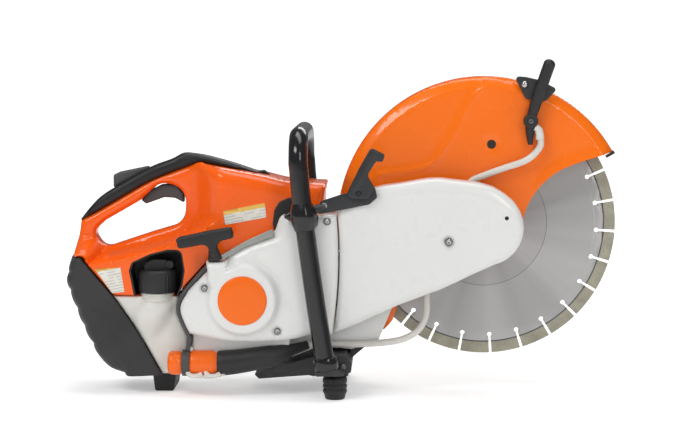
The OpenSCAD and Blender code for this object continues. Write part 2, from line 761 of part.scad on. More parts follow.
lockout_slot = [[-308, 258], [-308, 300], [-252, 300], [-252, 289], [-262, 284]];
module grip_cover() {
  color(dark) difference() {
    slab(concat([for (p = grip_top) if (p.x < -108) p],
      reversed([for (p = grip_low) if (p.x < -108) p + [0, 0.3]])), -20, 20);
    slab(lockout_slot, -8, 8);
  }
}

module rear_skid() {
  color(dark) difference() {
    intersection() {
      slab(skid_outline, -66, 66);
      translate([300, 0, 0]) cylinder(r = 666, h = 400, $fn = 360);
    }
    grown_slab(skid_outline, -4, -62, 62);
    for (z = [46:26:150]) slab(strip([[-370, z + 3], [-346 + (z - 46) * 0.02 - 8 * (z > 60 ? 1 : -1.2), z]], 2.4), -70, 70);
  }
}

module gap_seal() {
  color(grey) {
    slab(strip(gap_line, 5.4), -84, -64);
    difference() {
      translate([-206, -77, 44]) rotate([0, 90, 0]) cylinder(r = 17.3, h = 10);
      translate([-207, -77, 44]) rotate([0, 90, 0]) cylinder(r = 14.6, h = 12);
    }
  }
}

module labels() {
  color([0.92, 0.9, 0.82]) {
    slab([[-323, 166], [-289, 168], [-284, 136], [-300, 134]], -hood_half - 0.4, -hood_half);
    slab([[-153, 243], [-98, 254], [-96, 235], [-150, 225]], -hood_half - 0.4, -hood_half);
  }
}

module cover_screws() {
  color(steel) {
    for (p = [[-175, 145], [-80, 89], [-15, 233]]) screw_head(p, 4.5, -100, 2.4);
    screw_head([143, 206], 5, -94, 2.4);
  }
}

module vibration_buffers() {
  color(black) for (y = [-31, 31], z = [72, 112]) translate([-200.3 - (z > 100 ? 12 : 0), y, z])
    rotate([0, 90, 0]) cylinder(r = 10, h = 34 + (z > 100 ? 12 : 0));
}

// ---- water supply ------------------------------------------------------------------------------
module water_coupling() {
  color(orange) translate([-225, -77, 44]) rotate([0, 90, 0]) rotate_extrude()
    polygon([[6.5, 0], [13, 0], [15.5, 3], [15.5, 17], [14.5, 19], [14.5, 29], [16.4, 30], [16.4, 61], [15, 62],
      [15, 66], [0, 66], [0, 24], [6.5, 24]]);
}

module hose_sleeve() {
  path = curve([[-158.2, -77, 44], [-150, -77, 44], [-133, -77, 46], [-110, -77, 49], [-86, -74, 52], [-62, -67, 60], [-42, -60, 66]], 3);
  last = len(path) - 1;
  color(black) swept(path, [for (i = [0:last]) 16.8 - 10.4 * pow(max(i - 3, 0) / (last - 3), 1.3)], [0, 1, 0], 12);
}

// ---- controls ----------------------------------------------------------------------------------
module lever_bracket() {
  color(black) {
    slab(rounded([[-27, 242, 2], [-24, 259, 3], [3, 268, 0], [47, 278, 3], [50, 264, 4], [40, 255, 3], [-4, 246, 0]]), -98, -94.6);
    difference() {
      union() {
        translate([-46.4, -tube_y, 244]) cylinder(r = 16, h = 13);
        translate([-36, -104, 245]) cube([12, 9.4, 11]);
      }
      translate([-45.6, -tube_y, 240]) cylinder(r = 14.2, h = 20);
      translate([-70, -tube_y - 24, 240]) cube([50, 24, 20]);
    }
    screw_head([-19, 253], 4.5, -98, 2.2);
  }
}

module brake_lever() {
  color(black) difference() {
    slab(rounded([[8, 264, 6], [27, 303, 20], [42, 329, 4], [60, 320, 3], [57, 310, 3], [49, 312, 4], [37, 293, 8], [47, 277, 3], [38, 262, 8]]), -107, -98.4);
    rod_y([26, 270], 3, -110, -90);
  }
}

module throttle_trigger() {
  color(grey) {
    slab(rounded([[-267, 253, 1], [-261, 248, 3], [-236, 257, 10], [-222, 256, 6], [-209.6, 249.5, 1.5], [-209.6, 262, 5],
      [-220, 276, 4], [-240, 274, 4], [-256, 266, 6]]), -8, 8);
    rod_y([-217, 268], 2.5, -8.9, 8.9);
  }
}

module trigger_lockout() {
  color(grey) slab(rounded([[-304.5, 269.5, 1.5], [-304.5, 287, 3], [-296, 291, 6], [-257, 299, 1.5], [-256, 295, 1], [-263, 291.5, 2]]), -7, 7);
}

module decompression_button() {
  color(black) union() {
    rod_y([-150, 246], 4, 50, 66);
    rod_y([-150, 246], 7, 65.8, 70);
  }
}

module stop_switch() {
  color(black) slab(rounded([[-192, 266, 2], [-192, 276, 2], [-176, 276, 2], [-176, 266, 2]]), hood_half + 0.3, hood_half + 5);
}

crankcase();
cylinder_node();  // cylinder
piston();
connecting_rod();
spark_plug();
muffler();
carburetor();
air_filter();
ignition_coil();
fan_cover();
starter_cover();
emblem_disc();
recoil_spring();
belt_arm();
belt_cover();
drive_belt();
bearings();
front_handle();
front_support();
front_feet();
base_rail();
fuel_tank();
rear_housing_near();
rear_housing_far();
grip_cover();
rear_skid();
rear_foot();
gap_seal();
filler_recess();
labels();
cover_screws();
hose(lower_route);  // water_hose_lower
water_coupling();
hose_sleeve();
lever_bracket();
vibration_buffers();
throttle_trigger();
trigger_lockout();
fuel_cap();
starter_grip();
rope_pulley();
starter_rope();
crankshaft();
flywheel();
clutch_shoes();
clutch_drum();
spindle_shaft();
driven_pulley();
clamping_flanges();
clamp_bolt();
blade_core();
diamond_segments();
wheel_guard();
guard_lip();
guard_handle();
hose(upper_route);  // water_hose_upper
spray_nozzles();
brake_lever();
decompression_button();
stop_switch();
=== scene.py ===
"""Concrete cut-off saw: moulded housings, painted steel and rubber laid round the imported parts."""

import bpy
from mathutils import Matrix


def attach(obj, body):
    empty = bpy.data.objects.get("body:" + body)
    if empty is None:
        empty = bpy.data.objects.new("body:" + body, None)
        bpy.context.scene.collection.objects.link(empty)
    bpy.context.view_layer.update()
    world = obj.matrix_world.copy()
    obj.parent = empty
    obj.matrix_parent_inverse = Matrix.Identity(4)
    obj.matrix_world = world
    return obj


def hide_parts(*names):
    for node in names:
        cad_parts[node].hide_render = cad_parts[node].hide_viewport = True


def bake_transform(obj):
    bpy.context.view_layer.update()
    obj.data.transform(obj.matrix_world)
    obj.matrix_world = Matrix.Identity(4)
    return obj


bl_info = {
    "name": "Concrete cut-off saw",
    "version": (1, 0, 0),
    "blender": (4, 5, 0),
    "location": "View3D > Sidebar > Cut-off saw",
    "description": "Builds the looks of a petrol cut-off saw round its packed CAD parts",
    "category": "Object",
}

import math

import bpy
import numpy as np
from mathutils import Vector
from mathutils.geometry import delaunay_2d_cdt

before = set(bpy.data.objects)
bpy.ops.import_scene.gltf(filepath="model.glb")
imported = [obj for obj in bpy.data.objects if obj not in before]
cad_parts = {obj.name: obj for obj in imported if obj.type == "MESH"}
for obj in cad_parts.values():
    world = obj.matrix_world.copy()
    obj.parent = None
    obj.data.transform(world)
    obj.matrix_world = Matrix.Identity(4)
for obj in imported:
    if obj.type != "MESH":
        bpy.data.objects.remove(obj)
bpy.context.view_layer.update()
SAW = "saw_body"
GUARD = "guard"
MM = 0.001
SPINDLE = np.array([191.0, 224.0])
CRANK = np.array([-125.0, 130.0])
CAP = (-241.0, -50.0)
CAP_SEAT = (CAP[0], CAP[1], 124)
COVER_BACK = -58
REAR_SCREW, LOW_SCREW, SEAM_SCREW, ARM_SCREW = (-175, 145), (-80, 89), (-15, 233), (143, 206)
OUTWARD = (0, -1, 0)
UPWARD = (0, 0, 1)


# ---- outlines, in millimetres, as X and Z ------------------------------------------------------
def unit(v):
    return v / max(np.linalg.norm(v), 1e-9)


def arc(centre, radius, start, end, steps=16):
    angles = np.radians(np.linspace(start, end, steps + 1))
    return np.array(centre) + radius * np.stack([np.cos(angles), np.sin(angles)], 1)


def rounded(corners, steps=6):
    """A closed outline whose corners [x, z, radius] are rounded."""
    made, count = [], len(corners)
    for i, (x, z, radius) in enumerate(corners):
        a, b, c = (np.array(corners[k % count][:2], float) for k in (i - 1, i, i + 1))
        u, w = unit(a - b), unit(c - b)
        bend = math.acos(max(-1.0, min(1.0, float(u @ w))))
        if radius == 0 or bend > math.radians(176):
            made.append(b)
            continue
        reach = radius / math.tan(bend / 2)
        middle = b + unit(u + w) * radius / math.sin(bend / 2)
        turn = math.pi - bend
        start, end = b + u * reach - middle, b + w * reach - middle
        for k in range(steps + 1):
            t = k / steps
            d = start * math.sin(turn * (1 - t)) + end * math.sin(turn * t)
            made.append(middle + d / math.sin(turn))
    return np.array(made)


def curve(points, steps=4):
    """A smooth curve through a few points, in two or three dimensions."""
    p = np.array(points, float)
    last, made = len(p) - 1, []
    for i in range(last):
        a, b, c, d = p[max(i - 1, 0)], p[i], p[i + 1], p[min(i + 2, last)]
        for j in range(steps):
            t = j / steps
            made.append((2 * b + t * (c - a) + t * t * (2 * a - 5 * b + 4 * c - d)
                         + t ** 3 * (3 * b - a - 3 * c + d)) / 2)
    return np.array(made + [p[last]])


def beside(line, distance):
    """A line moved to its own left by distance."""
    ahead = np.vstack([line[1:], line[-1:]]) - np.vstack([line[:1], line[:-1]])
    ahead /= np.linalg.norm(ahead, axis=1)[:, None]
    return line + distance * np.stack([-ahead[:, 1], ahead[:, 0]], 1)


def join(*parts):
    return np.vstack([np.array(p, float) for p in parts])


def seam(z):
    """X of the bowed seam between the starter cover and the belt cover, at a height."""
    return -((z - 185) / 35) ** 2


GAP_LINE = curve([[-166, 178], [-185, 158], [-205, 134], [-211, 116], [-205, 96], [-197, 79], [-198, 66]])
GRIP_LOW = curve([[-347, 228], [-324, 240], [-298, 255], [-262, 276], [-238, 287], [-209, 298],
                  [-187, 305], [-175, 302], [-130, 294], [-98, 288]])
GRIP_TOP = curve([[-347, 229], [-334, 245], [-320, 259], [-300, 272], [-256, 297], [-227, 308],
                  [-211, 316], [-193, 315], [-176, 312], [-143, 303], [-116, 294], [-94, 287]])
HOOD_TOP = curve([[-98, 288], [-69, 281], [-39, 279], [-18, 278]])
SKID_EDGE = np.array([[-343, 180], [-300, 130], [-267, 82], [-236, 27]], float)
GUARD_EDGE = curve([[356, 319], [337, 313], [310, 304], [286, 293], [267, 277], [254, 260], [246, 244],
                    [240, 222]])
OPENING = rounded([[-330, 212, 11], [-315, 226, 0], [-268, 253, 16], [-241, 278, 20], [-206, 270, 24],
                   [-208, 224, 24], [-252, 211, 0], [-318, 189, 16]], 8)
RECESS = rounded([[-271, 128, 0], [-278, 164, 6], [-274, 175, 5], [-250, 186, 0], [-227, 192, 8],
                  [-208, 192, 9], [-204, 164, 6], [-207, 145, 6], [-214, 128, 0]])


def starter_outline():
    left = [p for p in beside(GAP_LINE, 3.5) if 84 < p[1] < 163]
    right = [[seam(z) - 0.6, z] for z in range(84, 241, 12)]
    foot = curve([[-160, 77], [-138, 74], [-87, 75], [-58, 78], [-39, 84]], 3)
    top = [[-76, 240, 8], [-84, 218, 8], [-119, 206, 12], [-144, 193, 6], [-148.5, 181, 2], [-173.8, 180, 2],
           [-172, 166, 4]]
    return rounded([[*p, 0] for p in left] + [[*p, 0] for p in foot] + [[*p, 0] for p in right] + top)


def belt_outline():
    return join(arc(SPINDLE, 49.5, -76, 50, 20), curve([[230.5, 255], [217.5, 266.5], [203, 275.5]], 4),
                curve([[200, 277], [180, 282.4], [150, 286], [122, 288], [84, 282], [49, 276], [20, 262],
                       [0, 252]]),
                [[seam(z) + 0.8, z] for z in range(245, 84, -10)],
                curve([[23, 97], [77, 122], [130, 142], [170, 161]], 2))


FAN_OUTLINE = rounded([[-190, 70, 24], [-40, 68, 10], [-6, 82, 8], [-4, 236, 10], [-75, 240, 8],
                       [-88, 218, 10], [-150, 190, 14], [-178, 172, 12], [-207, 122, 24]])


# ---- meshes ------------------------------------------------------------------------------------
def spaced(loop, step):
    """The closed loop with its long sides divided, so that none is longer than step."""
    made = []
    for a, b in zip(loop, np.roll(loop, -1, 0)):
        gap = np.linalg.norm(b - a)
        if gap < 0.05:
            continue
        parts = max(1, math.ceil(gap / step))
        made += [a + (b - a) * k / parts for k in range(parts)]
    return np.array(made)


def area(loop):
    x, z = loop[:, 0], loop[:, 1]
    return 0.5 * float(np.sum(x * np.roll(z, -1) - np.roll(x, -1) * z))


def within(points, loops):
    """Whether each point lies in the region that the loops bound, holes left out."""
    hit = np.zeros(len(points), bool)
    for loop in loops:
        a, b = loop, np.roll(loop, -1, 0)
        for (ax, az), (bx, bz) in zip(a, b):
            if az != bz:
                cross = (az > points[:, 1]) != (bz > points[:, 1])
                hit ^= cross & (points[:, 0] < (bx - ax) * (points[:, 1] - az) / (bz - az) + ax)
    return hit


def to_line(points, line, closed=False):
    """Each point's distance to a line of points."""
    p = np.array(line, float)
    a, b = (p, np.roll(p, -1, 0)) if closed else (p[:-1], p[1:])
    best = np.full(len(points), 1e9)
    for s, e in zip(a, b):
        d = e - s
        t = np.clip(((points - s) @ d) / max(float(d @ d), 1e-9), 0, 1)
        best = np.minimum(best, np.linalg.norm(points - s - t[:, None] * d, axis=1))
    return best


def smooth(t):
    t = np.clip(t, 0, 1)
    return t * t * (3 - 2 * t)


def roll(distance, radius):
    """How far a rounded edge falls back at a distance in from the edge."""
    d = np.clip(distance, 0, radius)
    return radius - np.sqrt(np.maximum(radius ** 2 - (radius - d) ** 2, 0))


def rings_for(radius, steps=6):
    return [radius * (1 - math.cos(math.pi / 2 * k / steps)) for k in range(1, steps + 1)]


def round_mark(centre, *radii, steps=28):
    return join(*[arc(centre, r, 0, 360 * (1 - 1 / steps), steps - 1) for r in radii])


class Plate:
    """A flat region cut into triangles, ready to be raised into a moulded face."""

    def __init__(self, outline, holes=(), step=5.0, rings=(), marks=None, rim_step=None):
        loops = [np.array(l, float) for l in (outline, *holes)]
        loops = [l if (area(l) > 0) == (k == 0) else l[::-1] for k, l in enumerate(loops)]
        self.loops = loops = [spaced(l, rim_step or step) for l in loops]
        taken = list(loops)
        last = 0.0
        for inset in rings:
            for loop in loops:
                tangent = np.roll(loop, -1, 0) - np.roll(loop, 1, 0)
                tangent /= np.linalg.norm(tangent, axis=1)[:, None]
                inner = loop + inset * np.stack([-tangent[:, 1], tangent[:, 0]], 1)
                keep = within(inner, loops) & (self.rim(inner) > 0.96 * inset)
                taken.append(inner[keep])
            last = inset
        if marks is not None:
            taken.append(marks[within(marks, loops) & (self.rim(marks) > 0.5)])
        low, high = loops[0].min(0), loops[0].max(0)
        rows = np.arange(low[1], high[1], step * 0.87)
        columns = [np.arange(low[0] + step / 2 * (k % 2), high[0], step) for k in range(len(rows))]
        grid = join(*[np.stack([xs, np.full(len(xs), z)], 1) for xs, z in zip(columns, rows)])
        grid = grid[within(grid, loops)]
        grid = grid[self.rim(grid) > last + 0.5 * step]
        if marks is not None and len(marks):
            near = np.array([np.min(np.sum((marks - g) ** 2, 1)) for g in grid]) if len(grid) else np.zeros(0)
            grid = grid[near > (0.45 * step) ** 2]
        taken.append(grid)
        points = np.vstack(taken)
        rim_count = sum(len(l) for l in loops)
        edges, start = [], 0
        for loop in loops:
            n = len(loop)
            edges += [(start + i, start + (i + 1) % n) for i in range(n)]
            start += n
        cells = np.round(points[rim_count:] / 0.25).astype(int)
        _, first = np.unique(cells, axis=0, return_index=True)
        points = np.vstack([points[:rim_count], points[rim_count:][np.sort(first)]])
        out = delaunay_2d_cdt([Vector(p) for p in points], edges, [], 0, 1e-5)
        self.points = np.array([v[:] for v in out[0]], float)
        index = {}
        for new, olds in enumerate(out[3]):
            for old in olds:
                index[old] = new
        faces = np.array([f for f in out[2] if len(f) == 3], int)
        middle = self.points[faces].mean(1)
        self.faces = faces[within(middle, loops)]
        self.rims, start = [], 0
        for loop in loops:
            self.rims.append([index[start + i] for i in range(len(loop))])
            start += len(loop)
        self.edge = self.rim(self.points)

    def rim(self, points):
        return np.min([to_line(points, l, True) for l in self.loops], axis=0)


class Shape:
    """Vertices and faces gathered for one piece, in millimetres."""

    def __init__(self):
        self.vertices, self.faces, self.marks = [], [], []

    def add(self, vertices, faces, mark=0):
        start = len(self.vertices)
        self.vertices += [tuple(map(float, v)) for v in vertices]
        self.faces += [tuple(start + i for i in f) for f in faces]
        self.marks += [mark] * len(faces)
        return self

    def plate(self, plate, front, back, mark=0):
        """A plate raised to y = front on its near side and y = back on its far side, with walls round it."""
        p, n = plate.points, len(plate.points)
        front, back = np.broadcast_to(front, n), np.broadcast_to(back, n)
        vertices = [(x, y, z) for (x, z), y in zip(p, front)] + [(x, y, z) for (x, z), y in zip(p, back)]
        faces = [tuple(f) for f in plate.faces] + [tuple(n + i for i in f[::-1]) for f in plate.faces]
        for rim in plate.rims:
            faces += [(a, a + n, b + n, b) for a, b in zip(rim, rim[1:] + rim[:1])]
        return self.add(vertices, faces, mark)

    def tube(self, path, radius, sides=20, mark=0, flat=1.0):
        """A round tube along a path, closed at both ends; flat thins it across its first direction."""
        path = np.array(path, float)
        radius = np.broadcast_to(radius, len(path))
        ahead = np.vstack([path[1:], path[-1:]]) - np.vstack([path[:1], path[:-1]])
        ahead /= np.linalg.norm(ahead, axis=1)[:, None]
        side = np.cross(ahead[0], [0.3, 1, 0.2])
        side /= np.linalg.norm(side)
        vertices, faces = [], []
        for p, t, r in zip(path, ahead, radius):
            side = side - (side @ t) * t
            side /= np.linalg.norm(side)
            up = np.cross(t, side)
            for k in range(sides):
                a = 2 * math.pi * k / sides
                vertices.append(p + r * (flat * math.cos(a) * side + math.sin(a) * up))
        for i in range(len(path) - 1):
            for k in range(sides):
                a, b, m = i * sides, (i + 1) * sides, (k + 1) % sides
                faces.append((a + k, a + m, b + m, b + k))
        faces.append(tuple(range(sides))[::-1])
        last = (len(path) - 1) * sides
        faces.append(tuple(last + k for k in range(sides)))
        return self.add(vertices, faces, mark)

    def turned(self, origin, axis, profile, sides=48, ribs=None, mark=0):
        """A round body from [radius, height] points along an axis; ribs(height, angle) adds to the radius."""
        axis = Vector(axis).normalized()
        side = axis.orthogonal().normalized()
        up = axis.cross(side)
        vertices, faces, rows = [], [], len(profile)
        for r, h in profile:
            for k in range(sides):
                a = 2 * math.pi * k / sides
                wide = r + (ribs(h, a) if ribs and r > 0.01 else 0)
                spoke = side * math.cos(a) + up * math.sin(a)
                vertices.append(Vector(origin) + axis * h + spoke * max(wide, 0.01))
        for i in range(rows - 1):
            for k in range(sides):
                a, b, m = i * sides, (i + 1) * sides, (k + 1) % sides
                faces.append((a + k, a + m, b + m, b + k))
        faces.append(tuple(range(sides))[::-1])
        faces.append(tuple((rows - 1) * sides + k for k in range(sides)))
        return self.add(vertices, faces, mark)

    def make(self, name, body, finishes, slot, replaces=(), sharp=35):
        mesh = bpy.data.meshes.new(name)
        mesh.from_pydata([tuple(c * MM for c in v) for v in self.vertices], [], self.faces)
        finishes = finishes if isinstance(finishes, (list, tuple)) else [finishes]
        for f in finishes:
            mesh.materials.append(finish(f))
        mesh.polygons.foreach_set("material_index", self.marks)
        mesh.polygons.foreach_set("use_smooth", [True] * len(self.faces))
        mesh.validate()
        mesh.set_sharp_from_angle(angle=math.radians(sharp))
        piece = bpy.data.objects.new(name, mesh)
        bpy.context.scene.collection.objects.link(piece)
        if body:
            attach(piece, body)
        if replaces:
            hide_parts(*replaces)
        return piece


def bevelled(outline, y0, y1, radius=1.2, step=6.0, holes=(), shape=None, mark=0):
    """A flat block between two Y planes with rounded edges."""
    plate = Plate(outline, holes, step, rings_for(radius, 3))
    fall = roll(plate.edge, radius)
    return (shape or Shape()).plate(plate, y0 + fall, y1 - fall, mark)


def ball_profile(radius, height, top, steps=5):
    """The rounded end of a turned body, from the rim at height up to its middle."""
    return [[radius * math.cos(math.pi / 2 * k / steps), height + top * math.sin(math.pi / 2 * k / steps)]
            for k in range(steps + 1)]


# ---- finishes ----------------------------------------------------------------------------------
class SawColours(bpy.types.PropertyGroup):
    """Colours of the saw's finishes."""

    def shade(name, default, description):
        return bpy.props.FloatVectorProperty(
            name=name, description=description, default=default, size=3, min=0, max=1, subtype="COLOR")

    hood: shade("Hood", (0.94, 0.122, 0.004), "Orange of the moulded rear hood")
    guard: shade("Guard", (0.95, 0.168, 0.003), "Orange powder coat of the wheel guard")
    cover: shade("Covers", (0.735, 0.735, 0.72), "Off-white of the starter and belt covers")
    tank: shade("Tank", (0.75, 0.74, 0.69), "Milky white of the fuel tank")
    rubber: shade("Grip and skid", (0.030, 0.030, 0.031), "Dark grey of the grip cover and the skid")
    black: shade("Painted tube", (0.008, 0.008, 0.009), "Black lacquer of the front handle")
    trigger: shade("Trigger", (0.062, 0.061, 0.060), "Grey of the trigger and its lockout")
    steel: shade("Wheel steel", (0.48, 0.475, 0.47), "Ground steel of the cutting wheel's core")
    segment: shade("Segments", (0.36, 0.34, 0.265), "Metal bond of the diamond segments")
    hose: shade("Water hose", (0.72, 0.70, 0.65), "Milky white of the water hoses")

    del shade


class SawSizes(bpy.types.PropertyGroup):
    """Sizes of the moulded details."""

    cover_roll: bpy.props.FloatProperty(
        name="Cover edge radius", description="Rounding round the white covers' edges",
        default=0.009, min=0.002, max=0.014, unit="LENGTH")
    guard_shoulder: bpy.props.FloatProperty(
        name="Guard shoulder radius", description="Rounding between the guard's face and its rim band",
        default=0.0125, min=0.006, max=0.02, unit="LENGTH")
    face_step: bpy.props.FloatProperty(
        name="Face grid", description="Spacing of the points on the moulded faces",
        default=0.0055, min=0.003, max=0.012, unit="LENGTH")
    hose_radius: bpy.props.FloatProperty(
        name="Hose radius", description="Outer radius of the water hoses",
        default=0.0044, min=0.003, max=0.006, unit="LENGTH")
    camera_distance: bpy.props.FloatProperty(
        name="Camera distance", description="Distance from the camera to the saw",
        default=3.0, min=1.5, max=8.0, unit="LENGTH")


def colours():
    return bpy.context.scene.saw_colours


def sizes():
    return bpy.context.scene.saw_sizes


class Wiring:
    """Short ways to add nodes to a shader tree."""

    def __init__(self, tree):
        self.tree = tree

    def node(self, kind, **inputs):
        n = self.tree.nodes.new(kind)
        for key, value in inputs.items():
            self.feed(n.inputs[key.replace("_", " ")], value)
        return n

    def feed(self, socket, value):
        if isinstance(value, bpy.types.NodeSocket):
            self.tree.links.new(value, socket)
        else:
            socket.default_value = value

    def math(self, operation, a, b=0.0, c=0.0):
        n = self.tree.nodes.new("ShaderNodeMath")
        n.operation = operation
        for socket, value in zip(n.inputs, (a, b, c)):
            self.feed(socket, value)
        return n.outputs[0]

    def length(self, a, b):
        """Length of the flat vector with the parts a and b."""
        return self.math("SQRT", self.math("ADD", self.math("MULTIPLY", a, a), self.math("MULTIPLY", b, b)))

    def spread(self, value, low, high, start=0.3, end=0.7):
        n = self.node("ShaderNodeMapRange", Value=value)
        for key, v in zip(("From Min", "From Max", "To Min", "To Max"), (start, end, low, high)):
            n.inputs[key].default_value = v
        return n.outputs["Result"]


class Finish(Wiring):
    """A Principled material under construction."""

    def __init__(self, name):
        self.material = bpy.data.materials.new(name)
        self.material.use_nodes = True
        super().__init__(self.material.node_tree)
        self.shader = self.tree.nodes["Principled BSDF"]
        self.place = self.tree.nodes.new("ShaderNodeTexCoord").outputs["Object"]

    def set(self, **values):
        for key, value in values.items():
            self.feed(self.shader.inputs[key.replace("_", " ")], value)

    def noise(self, scale, detail=3.0, place=None):
        n = self.node("ShaderNodeTexNoise", Vector=place or self.place, Scale=scale, Detail=detail)
        return n.outputs["Fac"]

    def blend(self, amount, a, b):
        n = self.tree.nodes.new("ShaderNodeMix")
        n.data_type = "RGBA"
        self.feed(n.inputs["Factor"], amount)
        for socket, value in ((n.inputs[6], a), (n.inputs[7], b)):
            self.feed(socket, value if isinstance(value, bpy.types.NodeSocket) else (*value, 1.0))
        return n.outputs[2]

    def cloud(self, scale, detail, dark, light):
        """A colour that drifts between two shades."""
        return self.blend(self.spread(self.noise(scale, detail), 0.0, 1.0), dark, light)

    def dent(self, height, strength, distance):
        n = self.node("ShaderNodeBump", Height=height, Strength=strength, Distance=distance)
        self.set(Normal=n.outputs["Normal"])

    def apart(self):
        n = self.node("ShaderNodeSeparateXYZ", Vector=self.place)
        return n.outputs

    def wheel_polar(self, centre):
        """Radius and angle round a Y axis through centre, in metres and radians."""
        x, _, z = self.apart()
        dx = self.math("SUBTRACT", x, centre[0] * MM)
        dz = self.math("SUBTRACT", z, centre[1] * MM)
        return self.length(dx, dz), self.math("ARCTAN2", dz, dx)


def shaded(colour, factor):
    return tuple(min(1.0, c * factor) for c in colour)


def moulded_plastic(name, colour, rough=(0.24, 0.34), coat=0.25, grain=0.0, mottle=0.93, spread=9.0):
    """Injection-moulded plastic: faint flow mottling, a fine skin and a soft gloss."""
    f = Finish(name)
    fine = f.noise(420.0, 2.0)
    f.set(Base_Color=f.cloud(spread, 2.0, shaded(colour, mottle), colour),
          Roughness=f.spread(f.noise(38.0, 4.0), *rough), Coat_Weight=coat, Coat_Roughness=0.06,
          Specular_IOR_Level=0.3)
    f.dent(f.math("ADD", fine, f.math("MULTIPLY", f.noise(70.0, 1.0), 0.6)), 0.12 + grain, 0.00012)
    return f


def powder_coat(name, colour):
    """Powder coat on pressed steel, with its orange peel and a wet gloss."""
    f = Finish(name)
    f.set(Base_Color=f.cloud(6.0, 2.0, shaded(colour, 0.975), colour),
          Roughness=f.spread(f.noise(30.0, 3.0), 0.20, 0.30), Coat_Weight=0.35, Coat_Roughness=0.05,
          Specular_IOR_Level=0.3)
    f.dent(f.noise(260.0, 1.5), 0.16, 0.0002)
    return f


def rubbery(name, colour, rough=(0.46, 0.62), bump=0.5, scale=900.0):
    """Soft-touch polymer with a spark-eroded grain."""
    f = Finish(name)
    grains = f.node("ShaderNodeTexVoronoi", Vector=f.place, Scale=scale)
    f.set(Base_Color=f.cloud(14.0, 3.0, shaded(colour, 0.8), shaded(colour, 1.15)),
          Roughness=f.spread(f.noise(60.0, 3.0), *rough), Specular_IOR_Level=0.45)
    f.dent(f.math("ADD", grains.outputs["Distance"], f.noise(160.0, 2.0)), bump, 0.0002)
    return f


def machined(name, colour, rough=(0.22, 0.42), scale=220.0, metal=1.0):
    """Bare or cast metal with fine tooling marks."""
    f = Finish(name)
    f.set(Base_Color=f.cloud(25.0, 4.0, shaded(colour, 0.8), colour),
          Roughness=f.spread(f.noise(scale, 4.0), *rough), Metallic=metal)
    f.dent(f.noise(scale * 4, 3.0), 0.25, 0.0001)
    return f


def ground_core():
    """The cutting wheel's ground steel disc: ring-wise grinding marks, a painted sheen of light and dark
    fans, and a printed ring.
    """
    f = Finish("ground_core")
    printed_ring, core_edge = 0.084, 0.1588
    steel = colours().steel[:]
    radius, angle = f.wheel_polar(SPINDLE)
    lines = f.node("ShaderNodeCombineXYZ", X=f.math("MULTIPLY", radius, 900.0))
    scratch = f.noise(1.0, 4.0, lines.outputs[0])
    # Painted sheen: the steel's colour turns lighter and darker in broad fans round the centre, in place of
    # its reflections.
    fan = f.node("ShaderNodeCombineXYZ", X=f.math("MULTIPLY", f.math("COSINE", angle), 1.6),
                 Y=f.math("MULTIPLY", f.math("SINE", angle), 1.6))
    painted_sheen = f.spread(f.noise(1.3, 2.0, fan.outputs[0]), 0.0, 1.0)
    tint = f.blend(painted_sheen, shaded(steel, 0.80), shaded(steel, 1.12))
    tint = f.blend(f.math("MULTIPLY", f.spread(scratch, 0.0, 1.0), 0.22), tint, shaded(steel, 0.6))
    ring = f.math("LESS_THAN", f.math("ABSOLUTE", f.math("SUBTRACT", radius, printed_ring)), 0.00045)
    rim = f.math("GREATER_THAN", radius, core_edge)
    inner = f.math("MULTIPLY", f.math("LESS_THAN", radius, printed_ring), 0.16)
    tint = f.blend(inner, tint, (0.30, 0.25, 0.25))
    dark = f.math("MAXIMUM", f.math("MULTIPLY", ring, 0.55), f.math("MULTIPLY", rim, 0.85))
    f.set(Base_Color=f.blend(dark, tint, (0.06, 0.06, 0.065)), Metallic=0.75,
          Roughness=f.spread(scratch, 0.34, 0.50), Anisotropic=0.7)
    f.dent(scratch, 0.12, 0.0001)
    grain = f.tree.nodes.new("ShaderNodeTangent")
    grain.direction_type, grain.axis = "RADIAL", "Y"
    f.set(Tangent=grain.outputs[0])
    return f


def diamond_bond():
    """Sintered bond with diamond grit standing out of it."""
    f = Finish("diamond_bond")
    tan = colours().segment[:]
    grit = f.node("ShaderNodeTexVoronoi", Vector=f.place, Scale=1100.0)
    speck = f.spread(grit.outputs["Distance"], 1.0, 0.0, 0.1, 0.45)
    base = f.cloud(60.0, 4.0, shaded(tan, 0.82), shaded(tan, 1.12))
    f.set(Base_Color=f.blend(f.math("MULTIPLY", speck, 0.35), base, (0.62, 0.61, 0.52)), Metallic=0.35,
          Roughness=f.spread(f.noise(300.0, 3.0), 0.5, 0.72))
    f.dent(grit.outputs["Distance"], 0.6, 0.0004)
    return f


def tank_resin():
    """Blow-moulded resin that lets a little light in."""
    f = moulded_plastic("tank_resin", colours().tank[:], (0.32, 0.44), 0.1, 0.05, 0.9, 14.0)
    f.set(Subsurface_Weight=0.25, Subsurface_Radius=(0.012, 0.010, 0.007))
    return f


def hose_vinyl():
    """Milky hose that lets a little light in."""
    f = moulded_plastic("hose_vinyl", colours().hose[:], (0.28, 0.4), 0.2, 0.02, 0.92, 40.0)
    f.set(Subsurface_Weight=0.2, Subsurface_Radius=(0.006, 0.005, 0.004))
    return f


def handle_lacquer():
    """Lacquered tube: deep black, a thick clear coat and faint runs."""
    f = Finish("handle_lacquer")
    black = colours().black[:]
    f.set(Base_Color=f.blend(f.noise(20.0, 2.0), black, shaded(black, 2.0)),
          Roughness=f.spread(f.noise(26.0, 3.0), 0.14, 0.22), Coat_Weight=0.35, Coat_Roughness=0.04,
          Specular_IOR_Level=0.35)
    f.dent(f.noise(190.0, 2.0), 0.10, 0.0002)
    return f


